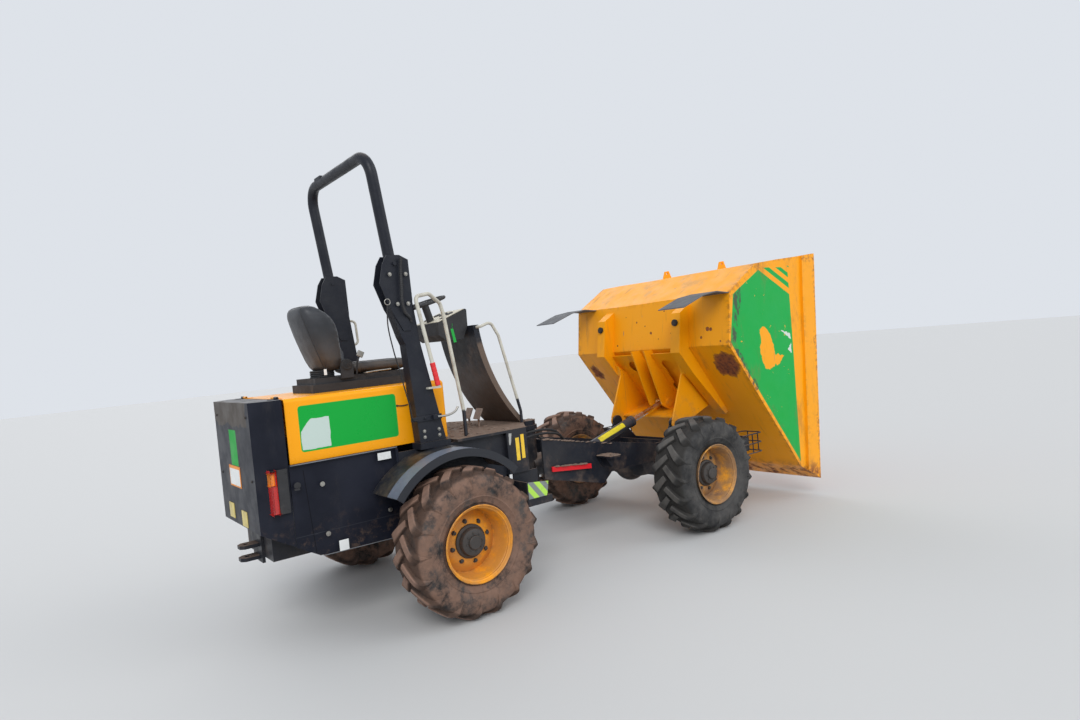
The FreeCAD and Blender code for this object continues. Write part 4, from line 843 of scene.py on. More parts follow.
WHEELS = (
    ("rear", "left", LEFT, 0.0, "tyre_brown", "rim", 3.0), ("rear", "right", RIGHT, 0.0, "tyre_brown", "rim", 7.0),
    ("front", "left", LEFT, WHEELBASE, "tyre_brown_front", "rim_rusty", 11.0),
    ("front", "right", RIGHT, WHEELBASE, "tyre_black", "rim_rusty", 17.0),
)
for end, side_name, side, centre_x, tyre_finish, rim_finish, seed in WHEELS:
    make_tyre(end, side_name, side, centre_x, MAT[tyre_finish], seed)
    make_rim(end, side_name, side, centre_x, MAT[rim_finish])

dented("skip_sheet", "skip_shell", "skip", MAT["skip"], 0.085, 0.006, 1.7, 4.0)


def side_finish(name):
    """Black lift-off panel with its seam lines, dust, rain marks and mud near the wheel."""
    seams = [[(-0.997, 1.20), (-0.993, 1.20), (-0.957, 0.616), (-0.961, 0.616)],
             [(-1.09, 0.752), (-1.09, 0.748), (-0.30, 0.748), (-0.30, 0.752)]]
    return body_black(name, [patch((0.002, 0.002, 0.003), ("xz", seams[0]), soft=0.001),
                             patch((0.03, 0.032, 0.04), ("xz", seams[1]), soft=0.001)])


def fender_finish(name):
    """Mudguard with a painted blue-grey sheen on the top of its outer part, and mud inside."""
    f = Finish(name)
    rim = f.step(f.calc("ABSOLUTE", f.axis("y")), 0.845, 0.850)
    # Blue-grey painted sheen on the upward faces of the outer part.
    top = f.both(f.up(0.05, 0.30), rim, f.step(f.noise(5.0, 6.0, 0.65), 0.30, 0.60, 0.65, 1.0))
    base = f.blend(top, (0.012, 0.014, 0.020), (0.150, 0.172, 0.220))
    dust = f.both(f.up(0.12, 0.35), f.step(f.noise(6.0, 7.0, 0.68), 0.42, 0.66, 0.0, 0.75))
    base = f.blend(f.both(dust, f.step(rim, 0.9, 0.1)), base, (0.090, 0.072, 0.050))
    marks = f.step(f.noise(26.0, 6.0, 0.7), 0.62, 0.70, 0.0, 0.6)
    base = f.blend(marks, base, (0.014, 0.016, 0.020))
    under = f.both(f.step(f.normal("z"), 0.0, -0.2), f.step(f.noise(9.0, 7.0, 0.7), 0.35, 0.6))
    base = f.blend(under, base, MUD)
    f.set(Base_Color=base, Roughness=f.step(f.noise(8.0), 0.3, 0.7, 0.34, 0.5))
    f.set(Normal=f.bump(f.noise(70.0, 4.0), 0.002, 0.35))
    return f.material


def vinyl_finish(name):
    """Black seat vinyl, dusty brown towards its foot, with a leather grain."""
    f = Finish(name)
    base = f.blend(f.step(f.noise(6.0, 5.0), 0.3, 0.7), (0.017, 0.019, 0.023), (0.032, 0.035, 0.042))
    low = f.both(f.step(f.axis("z"), 2.22, 1.86), f.step(f.noise(7.0, 7.0, 0.7), 0.30, 0.62, 0.15, 0.75))
    base = f.blend(low, base, (0.085, 0.062, 0.045))
    f.set(Base_Color=base, Roughness=f.step(f.noise(9.0), 0.3, 0.7, 0.36, 0.52))
    grain = f.plus(f.cells(420.0), f.times(f.noise(8.0, 3.0), 2.0))
    f.set(Normal=f.bump(grain, 0.0012, 0.45))
    return f.material


def striped(name, first, second, pitch):
    """Diagonal warning stripes with dirt on them."""
    f = Finish(name)
    across = f.plus(f.axis("x"), f.times(f.axis("z"), 0.8))
    wave = f.calc("PINGPONG", across, pitch)
    stripe = f.step(wave, pitch * 0.46, pitch * 0.54)
    base = f.blend(stripe, first, second)
    base = f.blend(f.step(f.noise(12.0, 8.0, 0.7), 0.52, 0.70, 0.0, 0.75), base, MUD)
    f.set(Base_Color=base, Roughness=0.45)
    return f.material


MAT["side"] = side_finish("side_panels")
MAT["fender"] = fender_finish("mudguards")
MAT["vinyl"] = vinyl_finish("seat_vinyl")
MAT["stitch"] = plain("seat_piping", (0.022, 0.023, 0.026), 0.45, 0.0, 0.2, MUD)
MAT["warning"] = striped("step_warning", (0.42, 0.72, 0.08), (0.20, 0.23, 0.22), 0.055)
SCUTTLE_EDGE = 0.300
MAT["scuttle"] = muddy_black("scuttle_mud", 0.85, 2.35, [
    patch((0.075, 0.056, 0.046), ("xz", [(0.3, 1.10), (1.4, 1.10), (1.4, 1.60), (0.3, 1.86)]),
          ragged=0.30, soft=0.11),
    patch((0.125, 0.088, 0.066), ("xz", [(0.3, 1.10), (1.4, 1.10), (1.4, 1.96), (0.3, 1.96)]),
          ragged=0.10, soft=0.03, facing=[("y", -SCUTTLE_EDGE + 0.004, -SCUTTLE_EDGE + 0.002)])])
MAT["pedals"] = muddy_black("control_mud", 0.6, 1.9, [
    patch((0.21, 0.155, 0.125), ("xz", [(0.62, 1.20), (0.90, 1.20), (0.90, 1.44), (0.62, 1.44)]), ragged=0.03)])
MAT["strip"] = plain("reflective_strip", (0.80, 0.50, 0.03), 0.35, 0.0, 0.35, MUD)
MAT["bulkhead"] = muddy_black("bulkhead_paint", 0.75, 1.25, [
    patch((0.38, 0.38, 0.36), ("xz", [(0.682, 1.197), (0.709, 1.193), (0.692, 1.098), (0.676, 1.10)]),
          ragged=0.02)])
for finish, nodes in (("side", ("side_panel_left", "side_panel_right")), ("bulkhead", ("bulkhead",)),
                      ("fender", ("fender_left", "fender_right")), ("scuttle", ("scuttle",)),
                      ("pedals", ("controls",))):
    for node in nodes:
        finish_node(node, MAT[finish])


def superellipse(place, half_u, half_v, power=3.0, count=40, bend=None):
    """Measured points round a rounded rectangle; place(u, v) gives a point, bend(u, v) moves u."""
    ring = []
    for k in range(count):
        turn = 2 * math.pi * k / count
        c, s = math.cos(turn), math.sin(turn)
        u = half_u * math.copysign(abs(c) ** (2 / power), c)
        v = half_v * math.copysign(abs(s) ** (2 / power), s)
        if bend:
            u += bend(u / half_u, v / half_v)
        ring.append(place(u, v))
    return ring


def add_loft(mesh, rings):
    """A closed skin over rings of measured points."""
    rows = [[mesh.verts.new(at(*p)) for p in ring] for ring in rings]
    for near, far in zip(rows, rows[1:]):
        for k in range(len(near)):
            j = (k + 1) % len(near)
            mesh.faces.new((near[k], near[j], far[j], far[k]))
    mesh.faces.new(list(reversed(rows[0])))
    mesh.faces.new(rows[-1])


def applied(obj):
    """The mesh that an object shows with its modifiers, which are then dropped."""
    scene_now = bpy.context.evaluated_depsgraph_get()
    data = bpy.data.meshes.new_from_object(obj.evaluated_get(scene_now))
    obj.modifiers.clear()
    obj.data = data
    return data


def swollen(mesh, node, voxel, cap, seams=(), pinch=0.010):
    """A closed bmesh blown up as cloth between its seams, held to a cap and inside its node's box."""
    data = bpy.data.meshes.new("soft")
    bmesh.ops.recalc_face_normals(mesh, faces=mesh.faces)
    mesh.to_mesh(data)
    mesh.free()
    obj = bpy.data.objects.new("soft", data)
    bpy.context.collection.objects.link(obj)
    remesh = obj.modifiers.new("remesh", "REMESH")
    remesh.mode, remesh.voxel_size = "VOXEL", voxel
    data = applied(obj)
    rest = [v.co.copy() for v in data.vertices]
    held = KDTree(sum(len(path) for path in seams) + 1)
    for i, place in enumerate(p for path in seams for p in path):
        held.insert(place, i)
    held.insert(Vector((99, 99, 99)), 0)
    held.balance()
    low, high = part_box(node)
    pins = obj.vertex_groups.new(name="seam")
    pins.add([i for i, co in enumerate(rest) if held.find(co)[2] < pinch * 0.6 or co.z < low.z + 0.004],
             1.0, "REPLACE")
    cloth = obj.modifiers.new("cloth", "CLOTH")
    cloth.settings.quality = 5
    cloth.settings.use_pressure = True
    cloth.settings.uniform_pressure_force = 4.0
    cloth.settings.effector_weights.gravity = 0.0
    cloth.settings.vertex_group_mass = "seam"
    for number in range(1, 21):
        bpy.context.scene.frame_set(number)
    data = applied(obj)
    bpy.context.scene.frame_set(1)
    for v, before in zip(data.vertices, rest):
        move = v.co - before
        if move.length > cap:
            move *= cap / move.length
        co = before + move
        gap = held.find(before)[2]
        if gap < pinch:
            co -= data.vertex_normals[v.index].vector * 0.0035 * (1 - gap / pinch)
        v.co = [min(max(co[i], low[i]), high[i]) for i in range(3)]
    smooth = obj.modifiers.new("smooth", "SUBSURF")
    smooth.levels = 1
    data = applied(obj)
    for v in data.vertices:
        v.co = [min(max(v.co[i], low[i]), high[i]) for i in range(3)]
    made = bmesh.new()
    made.from_mesh(data)
    bpy.data.objects.remove(obj)
    return made


def piping(mesh, path, lift):
    """The points of a path brought down to a bmesh's surface, for a cord sewn along it."""
    tree = BVHTree.FromBMesh(mesh)
    found = [tree.find_nearest(p) for p in path]
    return [place + normal * lift for place, normal, _, _ in found]


def soft_piece(name, node, base, seams, cords, body, voxel=0.008, cap=0.010):
    """A vinyl pad in place of a CAD block, with piping sewn along its edges."""
    pad = swollen(base, node, voxel, cap, seams)
    lines = [piping(pad, path, 0.0005) for path in cords]
    made = piece(name, pad, body, MAT["vinyl"], 60, (node,))
    edge_mesh = bmesh.new()
    for line in lines:
        add_tube(edge_mesh, line, 0.0036, 8)
    low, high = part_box(node)
    for v in edge_mesh.verts:
        v.co = [min(max(v.co[i], low[i]), high[i]) for i in range(3)]
    piece(name + "_piping", edge_mesh, body, MAT["stitch"], 80)


# height, rear edge, front edge and half width of the backrest
BACK_RINGS = [
    (1.860, -0.612, -0.486, 0.180), (1.885, -0.632, -0.462, 0.205), (1.940, -0.660, -0.452, 0.222),
    (2.010, -0.686, -0.450, 0.229), (2.080, -0.712, -0.450, 0.230), (2.150, -0.736, -0.452, 0.230),
    (2.210, -0.754, -0.464, 0.228), (2.260, -0.767, -0.492, 0.224), (2.300, -0.774, -0.536, 0.214),
    (2.332, -0.770, -0.588, 0.198), (2.354, -0.755, -0.634, 0.168), (2.365, -0.738, -0.664, 0.125),
]


def back_ring(z, rear, front, half):
    """One level of the backrest, hollowed in front between its side bolsters."""
    middle, depth = (rear + front) / 2, (front - rear) / 2
    hollow = 0.055 * min(1.0, (front - rear) / 0.25)
    return superellipse(lambda u, v: (middle + u, v, z), depth, half, 3.2, 48,
                        lambda u, v: -hollow * max(0.0, u) * (1 - abs(v) ** 2.5))


def make_back():
    """The backrest: a crowned vinyl form with a piped front and back panel."""
    rings = [back_ring(*level) for level in BACK_RINGS]
    base = bmesh.new()
    add_loft(base, rings)
    cords = []
    for share in (5, 19):
        up_side = [ring[share] for ring in rings[1:-1]]
        down_side = [ring[48 - share] for ring in rings[1:-1]][::-1]
        cords.append(smooth_path(up_side + down_side, 4))
    panel = [smooth_path([(z_ring[0][0] - 0.02, y, z_ring[0][2]) for z_ring in rings[1:-1]], 4)
             for y in (-0.105, 0.105)]
    across = []
    for level in (3, 5, 7):
        ring = rings[level]
        across.append(smooth_path([ring[k] for k in range(-3, 4)], 3))
    soft_piece("seat_back_pad", "seat_back", base, cords + panel + across, cords + panel, "cover")


def make_cushion():
    """The seat cushion: a rolled front, raised bolsters and sewn channels."""
    stations = [(-0.418, 0.024, 0.200), (-0.405, 0.038, 0.218), (-0.37, 0.046, 0.228), (-0.25, 0.047, 0.230),
                (-0.12, 0.046, 0.230), (0.0, 0.047, 0.229), (0.035, 0.044, 0.224), (0.055, 0.034, 0.214),
                (0.063, 0.018, 0.200)]
    rings = []
    for x, half_z, half_y in stations:
        rings.append(superellipse(lambda u, v, x=x: (x, v, 1.864 + u), half_z, half_y, 3.4, 48,
                                  lambda u, v: -0.012 * max(0.0, u) * (1 - abs(v) ** 3)))
    base = bmesh.new()
    add_loft(base, rings)
    edge = [smooth_path([ring[share] for ring in rings[1:-1]], 5) for share in (7, 41)]
    bolsters = [smooth_path([(x, y, 1.91) for x, _, _ in stations[1:-1]], 5) for y in (-0.150, 0.150)]
    channels = [smooth_path([(x, y, 1.905) for y in (-0.14, -0.07, 0.0, 0.07, 0.14)], 5)
                for x in (-0.30, -0.18, -0.06)]
    soft_piece("seat_cushion_pad", "seat_cushion", base, edge + bolsters + channels, edge + bolsters,
               "cover")


make_back()
make_cushion()


def make_bellows():
    """Ribbed boot between the backrest and the slide rails."""
    mesh = bmesh.new()
    rings = []
    for k in range(25):
        z = 1.806 + 0.0024 * k
        swell = 0.007 * (0.5 - 0.5 * math.cos(k * math.pi / 3))
        rings.append(superellipse(lambda u, v, z=z: (-0.585 + u, v, z), 0.060 + swell, 0.150 + swell, 3.5, 40))
    add_loft(mesh, rings)
    piece("seat_bellows", mesh, "cover", MAT["rubber"], 50)
    tag = bmesh.new()
    add_box(tag, (-0.655, -0.2375, 1.828), (-0.633, -0.2360, 1.872))
    bevel_edges(tag, 0.0005, 1)
    piece("seat_tag", tag, "cover", MAT["label"])


make_bellows()


def make_seat_fittings():
    """Recliner covers, adjusting handle and belt buckles beside the seat."""
    for name, side in SIDES:
        cover = bmesh.new()
        y = side * 0.2605
        add_disc(cover, (-0.480, y, 1.8905), (-0.480, y + side * 0.006, 1.8905), 0.042, 0.036, 40)
        add_disc(cover, (-0.480, y + side * 0.006, 1.8905), (-0.480, y + side * 0.010, 1.8905), 0.020, 0.017, 24)
        piece("recliner_cover_" + name, cover, "cover", MAT["rubber"], 30)
        stalk = bmesh.new()
        add_tube(stalk, smooth_path([(-0.405, side * 0.252, 1.812), (-0.398, side * 0.256, 1.880),
                                     (-0.385, side * 0.256, 1.925), (-0.366, side * 0.256, 1.955)], 6), 0.0075, 10)
        piece("belt_stalk_" + name, stalk, "cover", MAT["rubber"], 50)
        buckle = bmesh.new()
        add_box(buckle, (-0.388, side * 0.246, 1.940), (-0.340, side * 0.268, 1.985),
                Matrix.Rotation(math.radians(28), 3, "Y"))
        bevel_edges(buckle, 0.004, 3)
        piece("belt_buckle_" + name, buckle, "cover", MAT["steel"], 30)
    handle = bmesh.new()
    add_tube(handle, smooth_path([(-0.330, -0.215, 1.812), (-0.320, -0.252, 1.815), (-0.240, -0.256, 1.820),
                                  (-0.120, -0.256, 1.822)], 6), 0.006, 10)
    piece("slide_handle", handle, "cover", MAT["steel"], 50)


make_seat_fittings()


def make_tail_lamps():
    """Rear lamp clusters: black housings, ribbed red and amber lenses, a dark frame."""
    for name, side in SIDES:
        shell = bmesh.new()
        add_box(shell, (-1.184, side * 0.545, 0.935), (-1.108, side * 0.597, 1.235))
        add_box(shell, (-1.214, side * 0.545, 0.940), (-1.180, side * 0.592, 1.230))
        bevel_edges(shell, 0.006, 3)
        for z in (0.960, 1.210):
            add_bolt(shell, (-1.120, side * 0.596, z), (0, side, 0), 0.005, 0.004)
        piece("tail_lamp_housing_" + name, shell, "rear", MAT["plastic"], 35,
              ("tail_lamps",) if side > 0 else ())
        lens = bmesh.new()
        add_box(lens, (-1.2260, side * 0.546, 0.944), (-1.186, side * 0.5955, 1.226))
        bevel_edges(lens, 0.013, 5)
        for k in range(1, 27):
            z = 0.956 + k * 0.0098
            if abs(z - 1.178) > 0.034:
                add_box(lens, (-1.2268, side * 0.5590, z - 0.0013), (-1.2255, side * 0.5830, z + 0.0013))
        piece("tail_lamp_lens_" + name, lens, "rear", MAT["lens_red"], 30)
        window = bmesh.new()
        add_box(window, (-1.2272, side * 0.5472, 1.138), (-1.200, side * 0.5966, 1.214))
        bevel_edges(window, 0.011, 5)
        piece("tail_lamp_window_" + name, window, "rear", MAT["amber"], 30)


make_tail_lamps()


def make_rear_face():
    """Blank plate with its orange border, and two reflectors, on the rear of the bodywork."""
    x = -1.290
    border = bmesh.new()
    add_box(border, (x - 0.0030, -0.112, 1.082), (x + 0.001, 0.180, 1.236))
    bevel_edges(border, 0.0008, 1)
    piece("plate_border", border, "rear", MAT["orange"])
    white = bmesh.new()
    add_box(white, (x - 0.0042, -0.098, 1.094), (x - 0.0029, 0.166, 1.214))
    bevel_edges(white, 0.0004, 1)
    for y, z in ((-0.080, 1.154), (0.148, 1.154)):
        add_bolt(white, (x - 0.004, y, z), (-1, 0, 0), 0.004, 0.003)
    piece("plate_blank", white, "rear", MAT["label"])
    for k, (y, z) in enumerate(((0.225, 0.888), (-0.115, 0.865))):
        pad = bmesh.new()
        add_box(pad, (x - 0.005, y - 0.066, z - 0.056), (x + 0.001, y + 0.066, z + 0.056))
        bevel_edges(pad, 0.002, 2)
        piece("rear_reflector_%d" % k, pad, "rear", MAT["reflector"])
    bolts = bmesh.new()
    for y in (-0.40, 0.40):
        for z in (1.16, 1.60):
            add_bolt(bolts, (x, y, z), (-1, 0, 0), 0.008, 0.006)
    piece("rear_shell_bolts", bolts, "rear", MAT["hub"], 30)


make_rear_face()


def make_side_fittings():
    """Blank labels, quarter-turn latches and paddle handles of the side panels."""
    for name, side in SIDES:
        y = side * BODY_SIDE
        labels = bmesh.new()
        for x0, z0, x1, z1 in ((-0.457, 1.173, -0.353, 1.226), (-0.806, 0.594, -0.737, 0.669)):
            add_box(labels, (x0, y, z0), (x1, y + side * 0.0012, z1))
        piece("side_labels_" + name, labels, "rear", MAT["label"])
        latches = bmesh.new()
        for x, z in ((-0.881, 1.086), (-0.875, 0.736), (-0.40, 0.80)):
            add_disc(latches, (x, y, z), (x, y + side * 0.003, z), 0.0175, 0.0165, 32)
            add_disc(latches, (x, y + side * 0.003, z), (x, y + side * 0.006, z), 0.012, 0.010, 24)
            add_box(latches, (x - 0.009, y + side * 0.0055, z - 0.0016), (x + 0.009, y + side * 0.0085, z + 0.0016))
        piece("side_latches_" + name, latches, "rear", MAT["steel"], 30)
        handle = bmesh.new()
        add_disc(handle, (-1.053, y, 1.108), (-1.053, y + side * 0.003, 1.108), 0.024, 0.022, 32)
        add_box(handle, (-1.078, y + side * 0.002, 1.078), (-1.040, y + side * 0.010, 1.090))
        bevel_edges(handle, 0.001, 2)
        piece("side_handle_" + name, handle, "rear", MAT["plastic"], 35)


make_side_fittings()


def make_edge_highlights_and_straps():
    """Light grey strips along the top and bottom edges of the side panels, painted highlights of those edges, and the
    strap over the bonnet's side.
    """
    for name, side in SIDES:
        edge_mesh = bmesh.new()
        # Light grey strips along the panel's top and bottom edges: painted highlights of the edges.
        add_box(edge_mesh, (-1.088, side * 0.5975, 1.2455), (-0.300, side * 0.6025, 1.2515))
        add_plate(edge_mesh, [(-0.925, 0.5925), (-0.355, 0.5852), (-0.355, 0.5895), (-0.925, 0.5968)],
                  side * 0.5985, side * 0.6015)
        bevel_edges(edge_mesh, 0.001, 2)
        piece("side_edge_highlight_" + name, edge_mesh, "rear", MAT["edge"])
        strap = bmesh.new()
        add_tube(strap, smooth_path([(-0.238, side * 0.5475, 1.546), (-0.195, side * 0.549, 1.541),
                                     (-0.150, side * 0.5475, 1.545)], 6), 0.0045, 8)
        add_disc(strap, (-0.238, side * 0.545, 1.546), (-0.238, side * 0.552, 1.546), 0.008, 0.007, 20)
        piece("cover_strap_" + name, strap, "cover", MAT["rubber"], 50)


# The light grey of the painted edge highlights on the side panels.
MAT["edge"] = plain("edge_highlight_grey", (0.16, 0.17, 0.185), 0.4, 0.0, 0.45, BLACK)
make_edge_highlights_and_straps()


def make_front_skirts():
    """Reflective strips on the skirts below the floor and striped panels on the steps."""
    for name, side in SIDES:
        y = side * 0.640
        strips = bmesh.new()
        for x0, z0, x1, z1 in ((0.742, 0.962, 0.778, 1.150), (0.796, 0.972, 0.829, 1.172)):
            add_box(strips, (x0, y, z0), (x1, y + side * 0.001, z1))
        piece("skirt_strips_" + name, strips, "rear", MAT["strip"])
        panel = bmesh.new()
        add_plate(panel, [(0.700, 0.690), (0.712, 0.625), (0.880, 0.618), (0.905, 0.690), (0.922, 0.775),
                          (0.715, 0.798)], side * 0.796, side * 0.7995)
        piece("step_panel_" + name, panel, "rear", MAT["warning"])


make_front_skirts()


def make_bar_fittings():
    """Ring, cable, conduit, bolts and the clamp with its lever on the roll-over bar."""
    cheek, post = -0.684, -0.660
    ring = bmesh.new()
    turns = [k * math.pi / 12 for k in range(25)]
    loop = [at(-0.300 + 0.022 * math.cos(turn), cheek - 0.006, 2.318 + 0.022 * math.sin(turn))
            for turn in turns]
    add_tube(ring, loop, 0.003, 8)
    piece("bar_ring", ring, "rear", MAT["steel"], 50)
    cable = bmesh.new()
    add_tube(cable, smooth_path([(-0.302, -0.688, 2.296), (-0.316, -0.694, 2.141), (-0.292, -0.694, 1.963),
                                 (-0.263, -0.694, 1.825), (-0.235, -0.690, 1.690), (-0.204, -0.688, 1.544),
                                 (-0.190, -0.688, 1.440), (-0.150, -0.682, 1.425)], 8), 0.0048, 10)
    piece("bar_cable", cable, "rear", MAT["rubber"], 50)
    conduit = bmesh.new()
    path = smooth_path([(-0.160, cheek - 0.012, 2.640), (-0.172, cheek - 0.012, 2.541), (-0.179, cheek - 0.012, 2.422),
                        (-0.184, cheek - 0.012, 2.311), (-0.165, cheek - 0.008, 2.235), (-0.125, post - 0.012, 2.200),
                        (-0.112, post - 0.006, 2.160)], 36)
    add_tube(conduit, path, lambda t: 0.0110 + 0.0016 * math.sin(t * 2 * math.pi * 52), 10)
    piece("bar_conduit", conduit, "rear", MAT["plastic"], 70)
    for name, side in SIDES:
        bolts = bmesh.new()
        for x, z in ((-0.257, 2.520), (-0.128, 2.520), (-0.215, 2.300), (-0.130, 2.300)):
            add_bolt(bolts, (x, side * 0.684, z), (0, side, 0), 0.011, 0.009)
        for x, z in ((-0.09, 1.335), (0.035, 1.335), (-0.09, 1.29), (0.035, 1.29)):
            add_bolt(bolts, (x, side * 0.660, z), (0, side, 0), 0.010, 0.008)
        piece("bar_bolts_" + name, bolts, "rear", MAT["steel"], 30)
    clamp = bmesh.new()
    add_box(clamp, (-0.158, -0.672, 1.412), (0.064, -0.660, 1.452))
    add_box(clamp, (-0.196, -0.678, 1.418), (-0.150, -0.664, 1.446))
    add_box(clamp, (-0.020, -0.694, 1.416), (0.020, -0.670, 1.450))
    bevel_edges(clamp, 0.002, 2)
    add_bolt(clamp, (-0.08, -0.672, 1.432), (0, -1, 0), 0.009, 0.008)
    piece("bar_clamp", clamp, "rear", MAT["frame_clean"], 30)
    lever = bmesh.new()
    add_tube(lever, smooth_path([(0.0, -0.684, 1.434), (0.075, -0.684, 1.430), (0.135, -0.684, 1.436),
                                 (0.180, -0.684, 1.455), (0.205, -0.684, 1.485)], 6), 0.0085, 12)
    piece("bar_lever", lever, "rear", MAT["steel"], 50)
    hoop = bmesh.new()
    add_box(hoop, (-0.345, 0.245, 3.424), (-0.262, 0.375, 3.466 - 0.001))
    bevel_edges(hoop, 0.004, 2)
    piece("beacon_bracket", hoop, "hoop", MAT["frame_clean"], 30)


make_bar_fittings()


def make_rails():
    """Red sleeve on the near hand rail."""
    def on_leg(z):
        """A point on the near rail's rear leg at a height."""
        return 0.052 - 0.124 * (z - 1.660) / 0.690, -0.686, z
    sleeve = bmesh.new()
    path = [at(*on_leg(1.668 + 0.175 * k / 40)) for k in range(41)]
    add_tube(sleeve, path, lambda t: 0.0205 - 0.0022 * (abs(math.sin(t * math.pi * 5)) < 0.28), 20)
    piece("rail_sleeve", sleeve, "rear", MAT["red_grip"], 50)


MAT["red_grip"] = plain("red_sleeve", (0.60, 0.018, 0.022), 0.42, 0.0, 0.2, MUD)
make_rails()


def make_dash():
    """Cream dash top with two gauges, a key switch and the green tag."""
    top = bmesh.new()
    slope = Vector((0.275, 0, 0.105)).normalized()
    up = Vector((-slope.z, 0, slope.x))
    start = Vector((0.372, 0, 2.1677))
    def spot(along, lift):
        """A point in the side view, along the dash's top and above it."""
        place = start + slope * along + up * lift
        return place.x, place.z
    corners = ((0.0, 0.0), (0.278, 0.0), (0.278, 0.004), (0.0, 0.004))
    add_plate(top, [spot(*corner) for corner in corners], -0.208, 0.208)
    bevel_edges(top, 0.001, 2)
    piece("dash_top", top, "rear", MAT["cream"])
    dials = bmesh.new()
    for along, y, radius in ((0.19, -0.11, 0.034), (0.19, 0.0, 0.042), (0.19, 0.11, 0.034), (0.08, -0.14, 0.014),
                             (0.08, 0.14, 0.014), (0.08, 0.09, 0.010)):
        (x0, z0), (x1, z1) = spot(along, 0.003), spot(along, 0.011)
        add_disc(dials, (x0, y, z0), (x1, y, z1), radius, radius * 0.92, 36)
    piece("dash_dials", dials, "rear", MAT["plastic"], 30)
    tag = bmesh.new()
    add_plate(tag, [(0.480, 2.105), (0.505, 2.105), (0.527, 1.990), (0.500, 1.985)], -0.2172, -0.2160)
    add_tube(tag, [at(0.497, -0.2166, 2.104), at(0.502, -0.216, 2.150)], 0.0012, 6)
    piece("dash_tag", tag, "rear", MAT["green"])


make_dash()


def make_headlamp_glass():
    """Rectangular glasses of the headlamps, with their rims and ribs."""
    for name, side in SIDES:
        glass = bmesh.new()
        add_box(glass, (3.322, side * 0.853, 0.640), (3.329, side * 0.997, 0.755))
        bevel_edges(glass, 0.003, 2)
        for k in range(11):
            y = 0.862 + 0.0125 * k
            add_box(glass, (3.3285, side * y - 0.0012, 0.646), (3.3299, side * y + 0.0012, 0.749))
        piece("headlamp_glass_" + name, glass, "front", MAT["lens"], 30)


make_headlamp_glass()


def make_hoses():
    """Hydraulic hoses over the pivot."""
    for k, (y, z) in enumerate(((-0.16, 1.06), (-0.19, 1.03), (0.16, 1.05))):
        mesh = bmesh.new()
        ends = (0.862, y, z - 0.02), (1.64, y * 1.05, z - 0.11)
        path = smooth_path([ends[0], (0.97, y * 1.2, z), (1.14, y * 1.45, z + 0.045), (1.313, y * 1.55, z + 0.055),
                            (1.48, y * 1.45, z + 0.02), (1.60, y * 1.15, z - 0.07), ends[1]], 10)
        add_tube(mesh, path, 0.0115, 12)
        for end, step in ((path[0], path[2]), (path[-1], path[-3])):
            line = (step - end).normalized()
            a = end - Vector((-SHIFT, 0, 0))
            b = a + line * 0.045
            add_disc(mesh, a, b, 0.0165, 0.0150, 6)
        obj = new_object("pivot_hose_%d" % k, mesh, MAT["rubber"])
        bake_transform(obj)


make_hoses()


def make_mud():
    """Lumps of mud caked on the ledges of the chassis and under the lock bar's bracket."""
    random.seed(5)
    beds = (
        ("front_ledge_mud", "front", [(1.20, 2.0, -0.43, -0.415, 1.052, -0.208),
                                      (1.795, 1.905, -0.62, -0.45, 0.806, 0.0)], 60),
        ("floor_mud", "rear", [(0.25, 0.84, -0.60, 0.60, 1.225, 0.0)], 90),
        ("cap_mud", "rear", [(1.24, 1.385, -0.07, 0.07, 1.195, 0.0)], 26),
        ("lock_bar_mud", "front", [(1.27, 1.66, -0.452, -0.444, 0.797, -0.1087)], 26),
    )
    for name, body, areas, count in beds:
        mesh = bmesh.new()
        for k in range(count):
            x0, x1, y0, y1, z, fall = areas[k % len(areas)]
            x, y = random.uniform(x0, x1), random.uniform(y0, y1)
            size = random.uniform(0.008, 0.022)
            ledge = z + fall * (x - x0)
            place = Matrix.Translation(at(x, y, ledge)) @ Matrix.Diagonal((size * 1.6, size * 1.2, size * 0.45, 1.0))
            made = bmesh.ops.create_icosphere(mesh, subdivisions=2, radius=1.0, matrix=place)["verts"]
            for v in made:
                v.co += (v.co - at(x, y, ledge)) * noise.noise(v.co * 70) * 0.6
                v.co.z = max(v.co.z, ledge - 0.002)
        piece(name, mesh, body, MAT["clods"], 60)


MAT["clods"] = plain("mud_clods", (0.15, 0.105, 0.080), 0.85, 0.0, 0.5, MUD, 60.0, 0.0, 0.004)
make_mud()


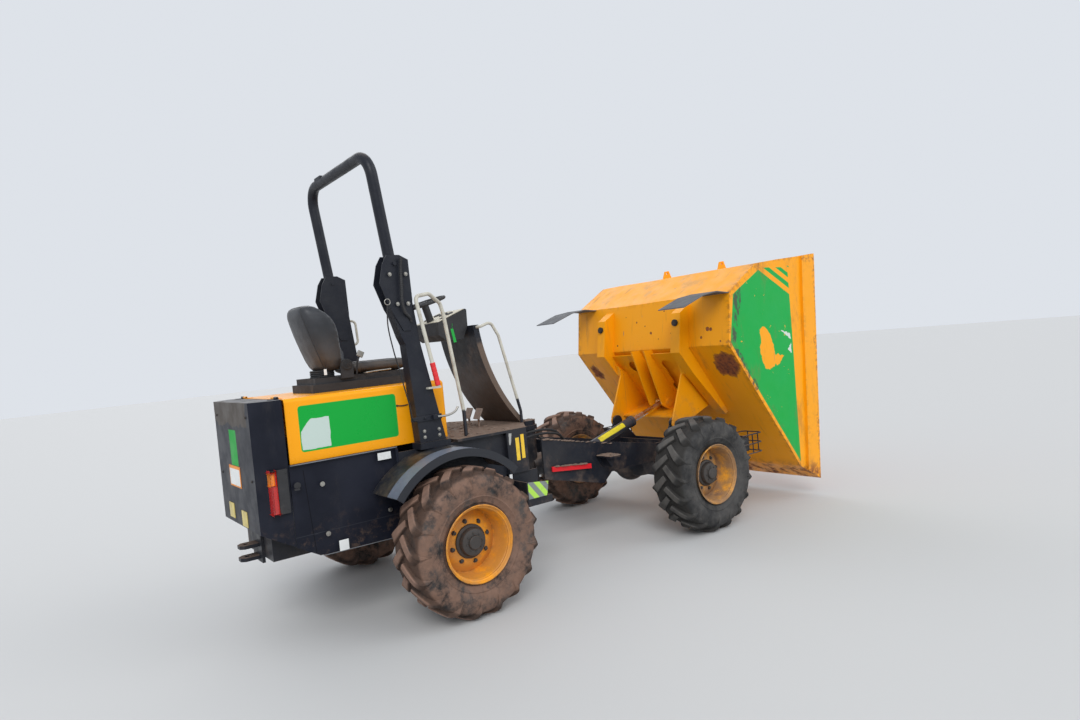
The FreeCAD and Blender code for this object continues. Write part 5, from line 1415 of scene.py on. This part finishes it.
def camera():
    """The photograph's viewpoint."""
    yaw, pitch, roll = math.radians(52.82), math.radians(-1.51), math.radians(-5.48)
    ahead = Vector((math.cos(pitch) * math.cos(yaw), math.cos(pitch) * math.sin(yaw), math.sin(pitch)))
    level = ahead.cross(Vector((0, 0, 1))).normalized()
    upright = level.cross(ahead)
    right = level * math.cos(roll) + upright * math.sin(roll)
    up = upright * math.cos(roll) - level * math.sin(roll)
    data = bpy.data.cameras.new("camera")
    data.sensor_fit, data.sensor_width, data.lens = "HORIZONTAL", 36.0, 707.6 / 1080 * 36.0
    data.clip_start, data.clip_end = 0.05, 200
    made = bpy.data.objects.new("camera", data)
    turn = Matrix((right, up, -ahead)).transposed().to_4x4()
    made.matrix_world = Matrix.Translation(at(-2.573, -5.452, 1.927)) @ turn
    bpy.context.collection.objects.link(made)
    bpy.context.scene.camera = made


def lamp(name, place, softness, power):
    """A soft distant lamp shining from a place onto the machine's middle."""
    data = bpy.data.lights.new(name, "SUN")
    data.angle, data.energy = math.radians(softness), power
    made = bpy.data.objects.new(name, data)
    bpy.context.collection.objects.link(made)
    made.location = place
    made.rotation_euler = (Vector((0, 0, 1.0)) - Vector(place)).to_track_quat("-Z", "Y").to_euler()


def floor():
    """A plain pale floor."""
    mesh = bmesh.new()
    bmesh.ops.create_grid(mesh, x_segments=2, y_segments=2, size=60)
    data = bpy.data.meshes.new("floor")
    mesh.to_mesh(data)
    mesh.free()
    made = bpy.data.objects.new("floor", data)
    bpy.context.collection.objects.link(made)
    made.location.z = -0.001
    material = bpy.data.materials.new("floor")
    material.use_nodes = True
    material.node_tree.nodes["Principled BSDF"].inputs["Base Color"].default_value = (0.54, 0.54, 0.535, 1)
    material.node_tree.nodes["Principled BSDF"].inputs["Roughness"].default_value = 0.7
    data.materials.append(material)


def world():
    """Even pale surroundings."""
    scene = bpy.context.scene
    scene.world = bpy.data.worlds.new("world")
    scene.world.use_nodes = True
    background = scene.world.node_tree.nodes["Background"]
    background.inputs["Color"].default_value = (0.86, 0.90, 0.96, 1)
    background.inputs["Strength"].default_value = 0.85
    scene.view_settings.view_transform = "Standard"


camera()
floor()
world()
lamp("key", (-5.0, -7.0, 8.0), 30.0, 1.48)
lamp("fill", (6.0, -6.0, 6.0), 40.0, 0.60)
lamp("back", (2.0, 8.0, 7.0), 40.0, 0.45)
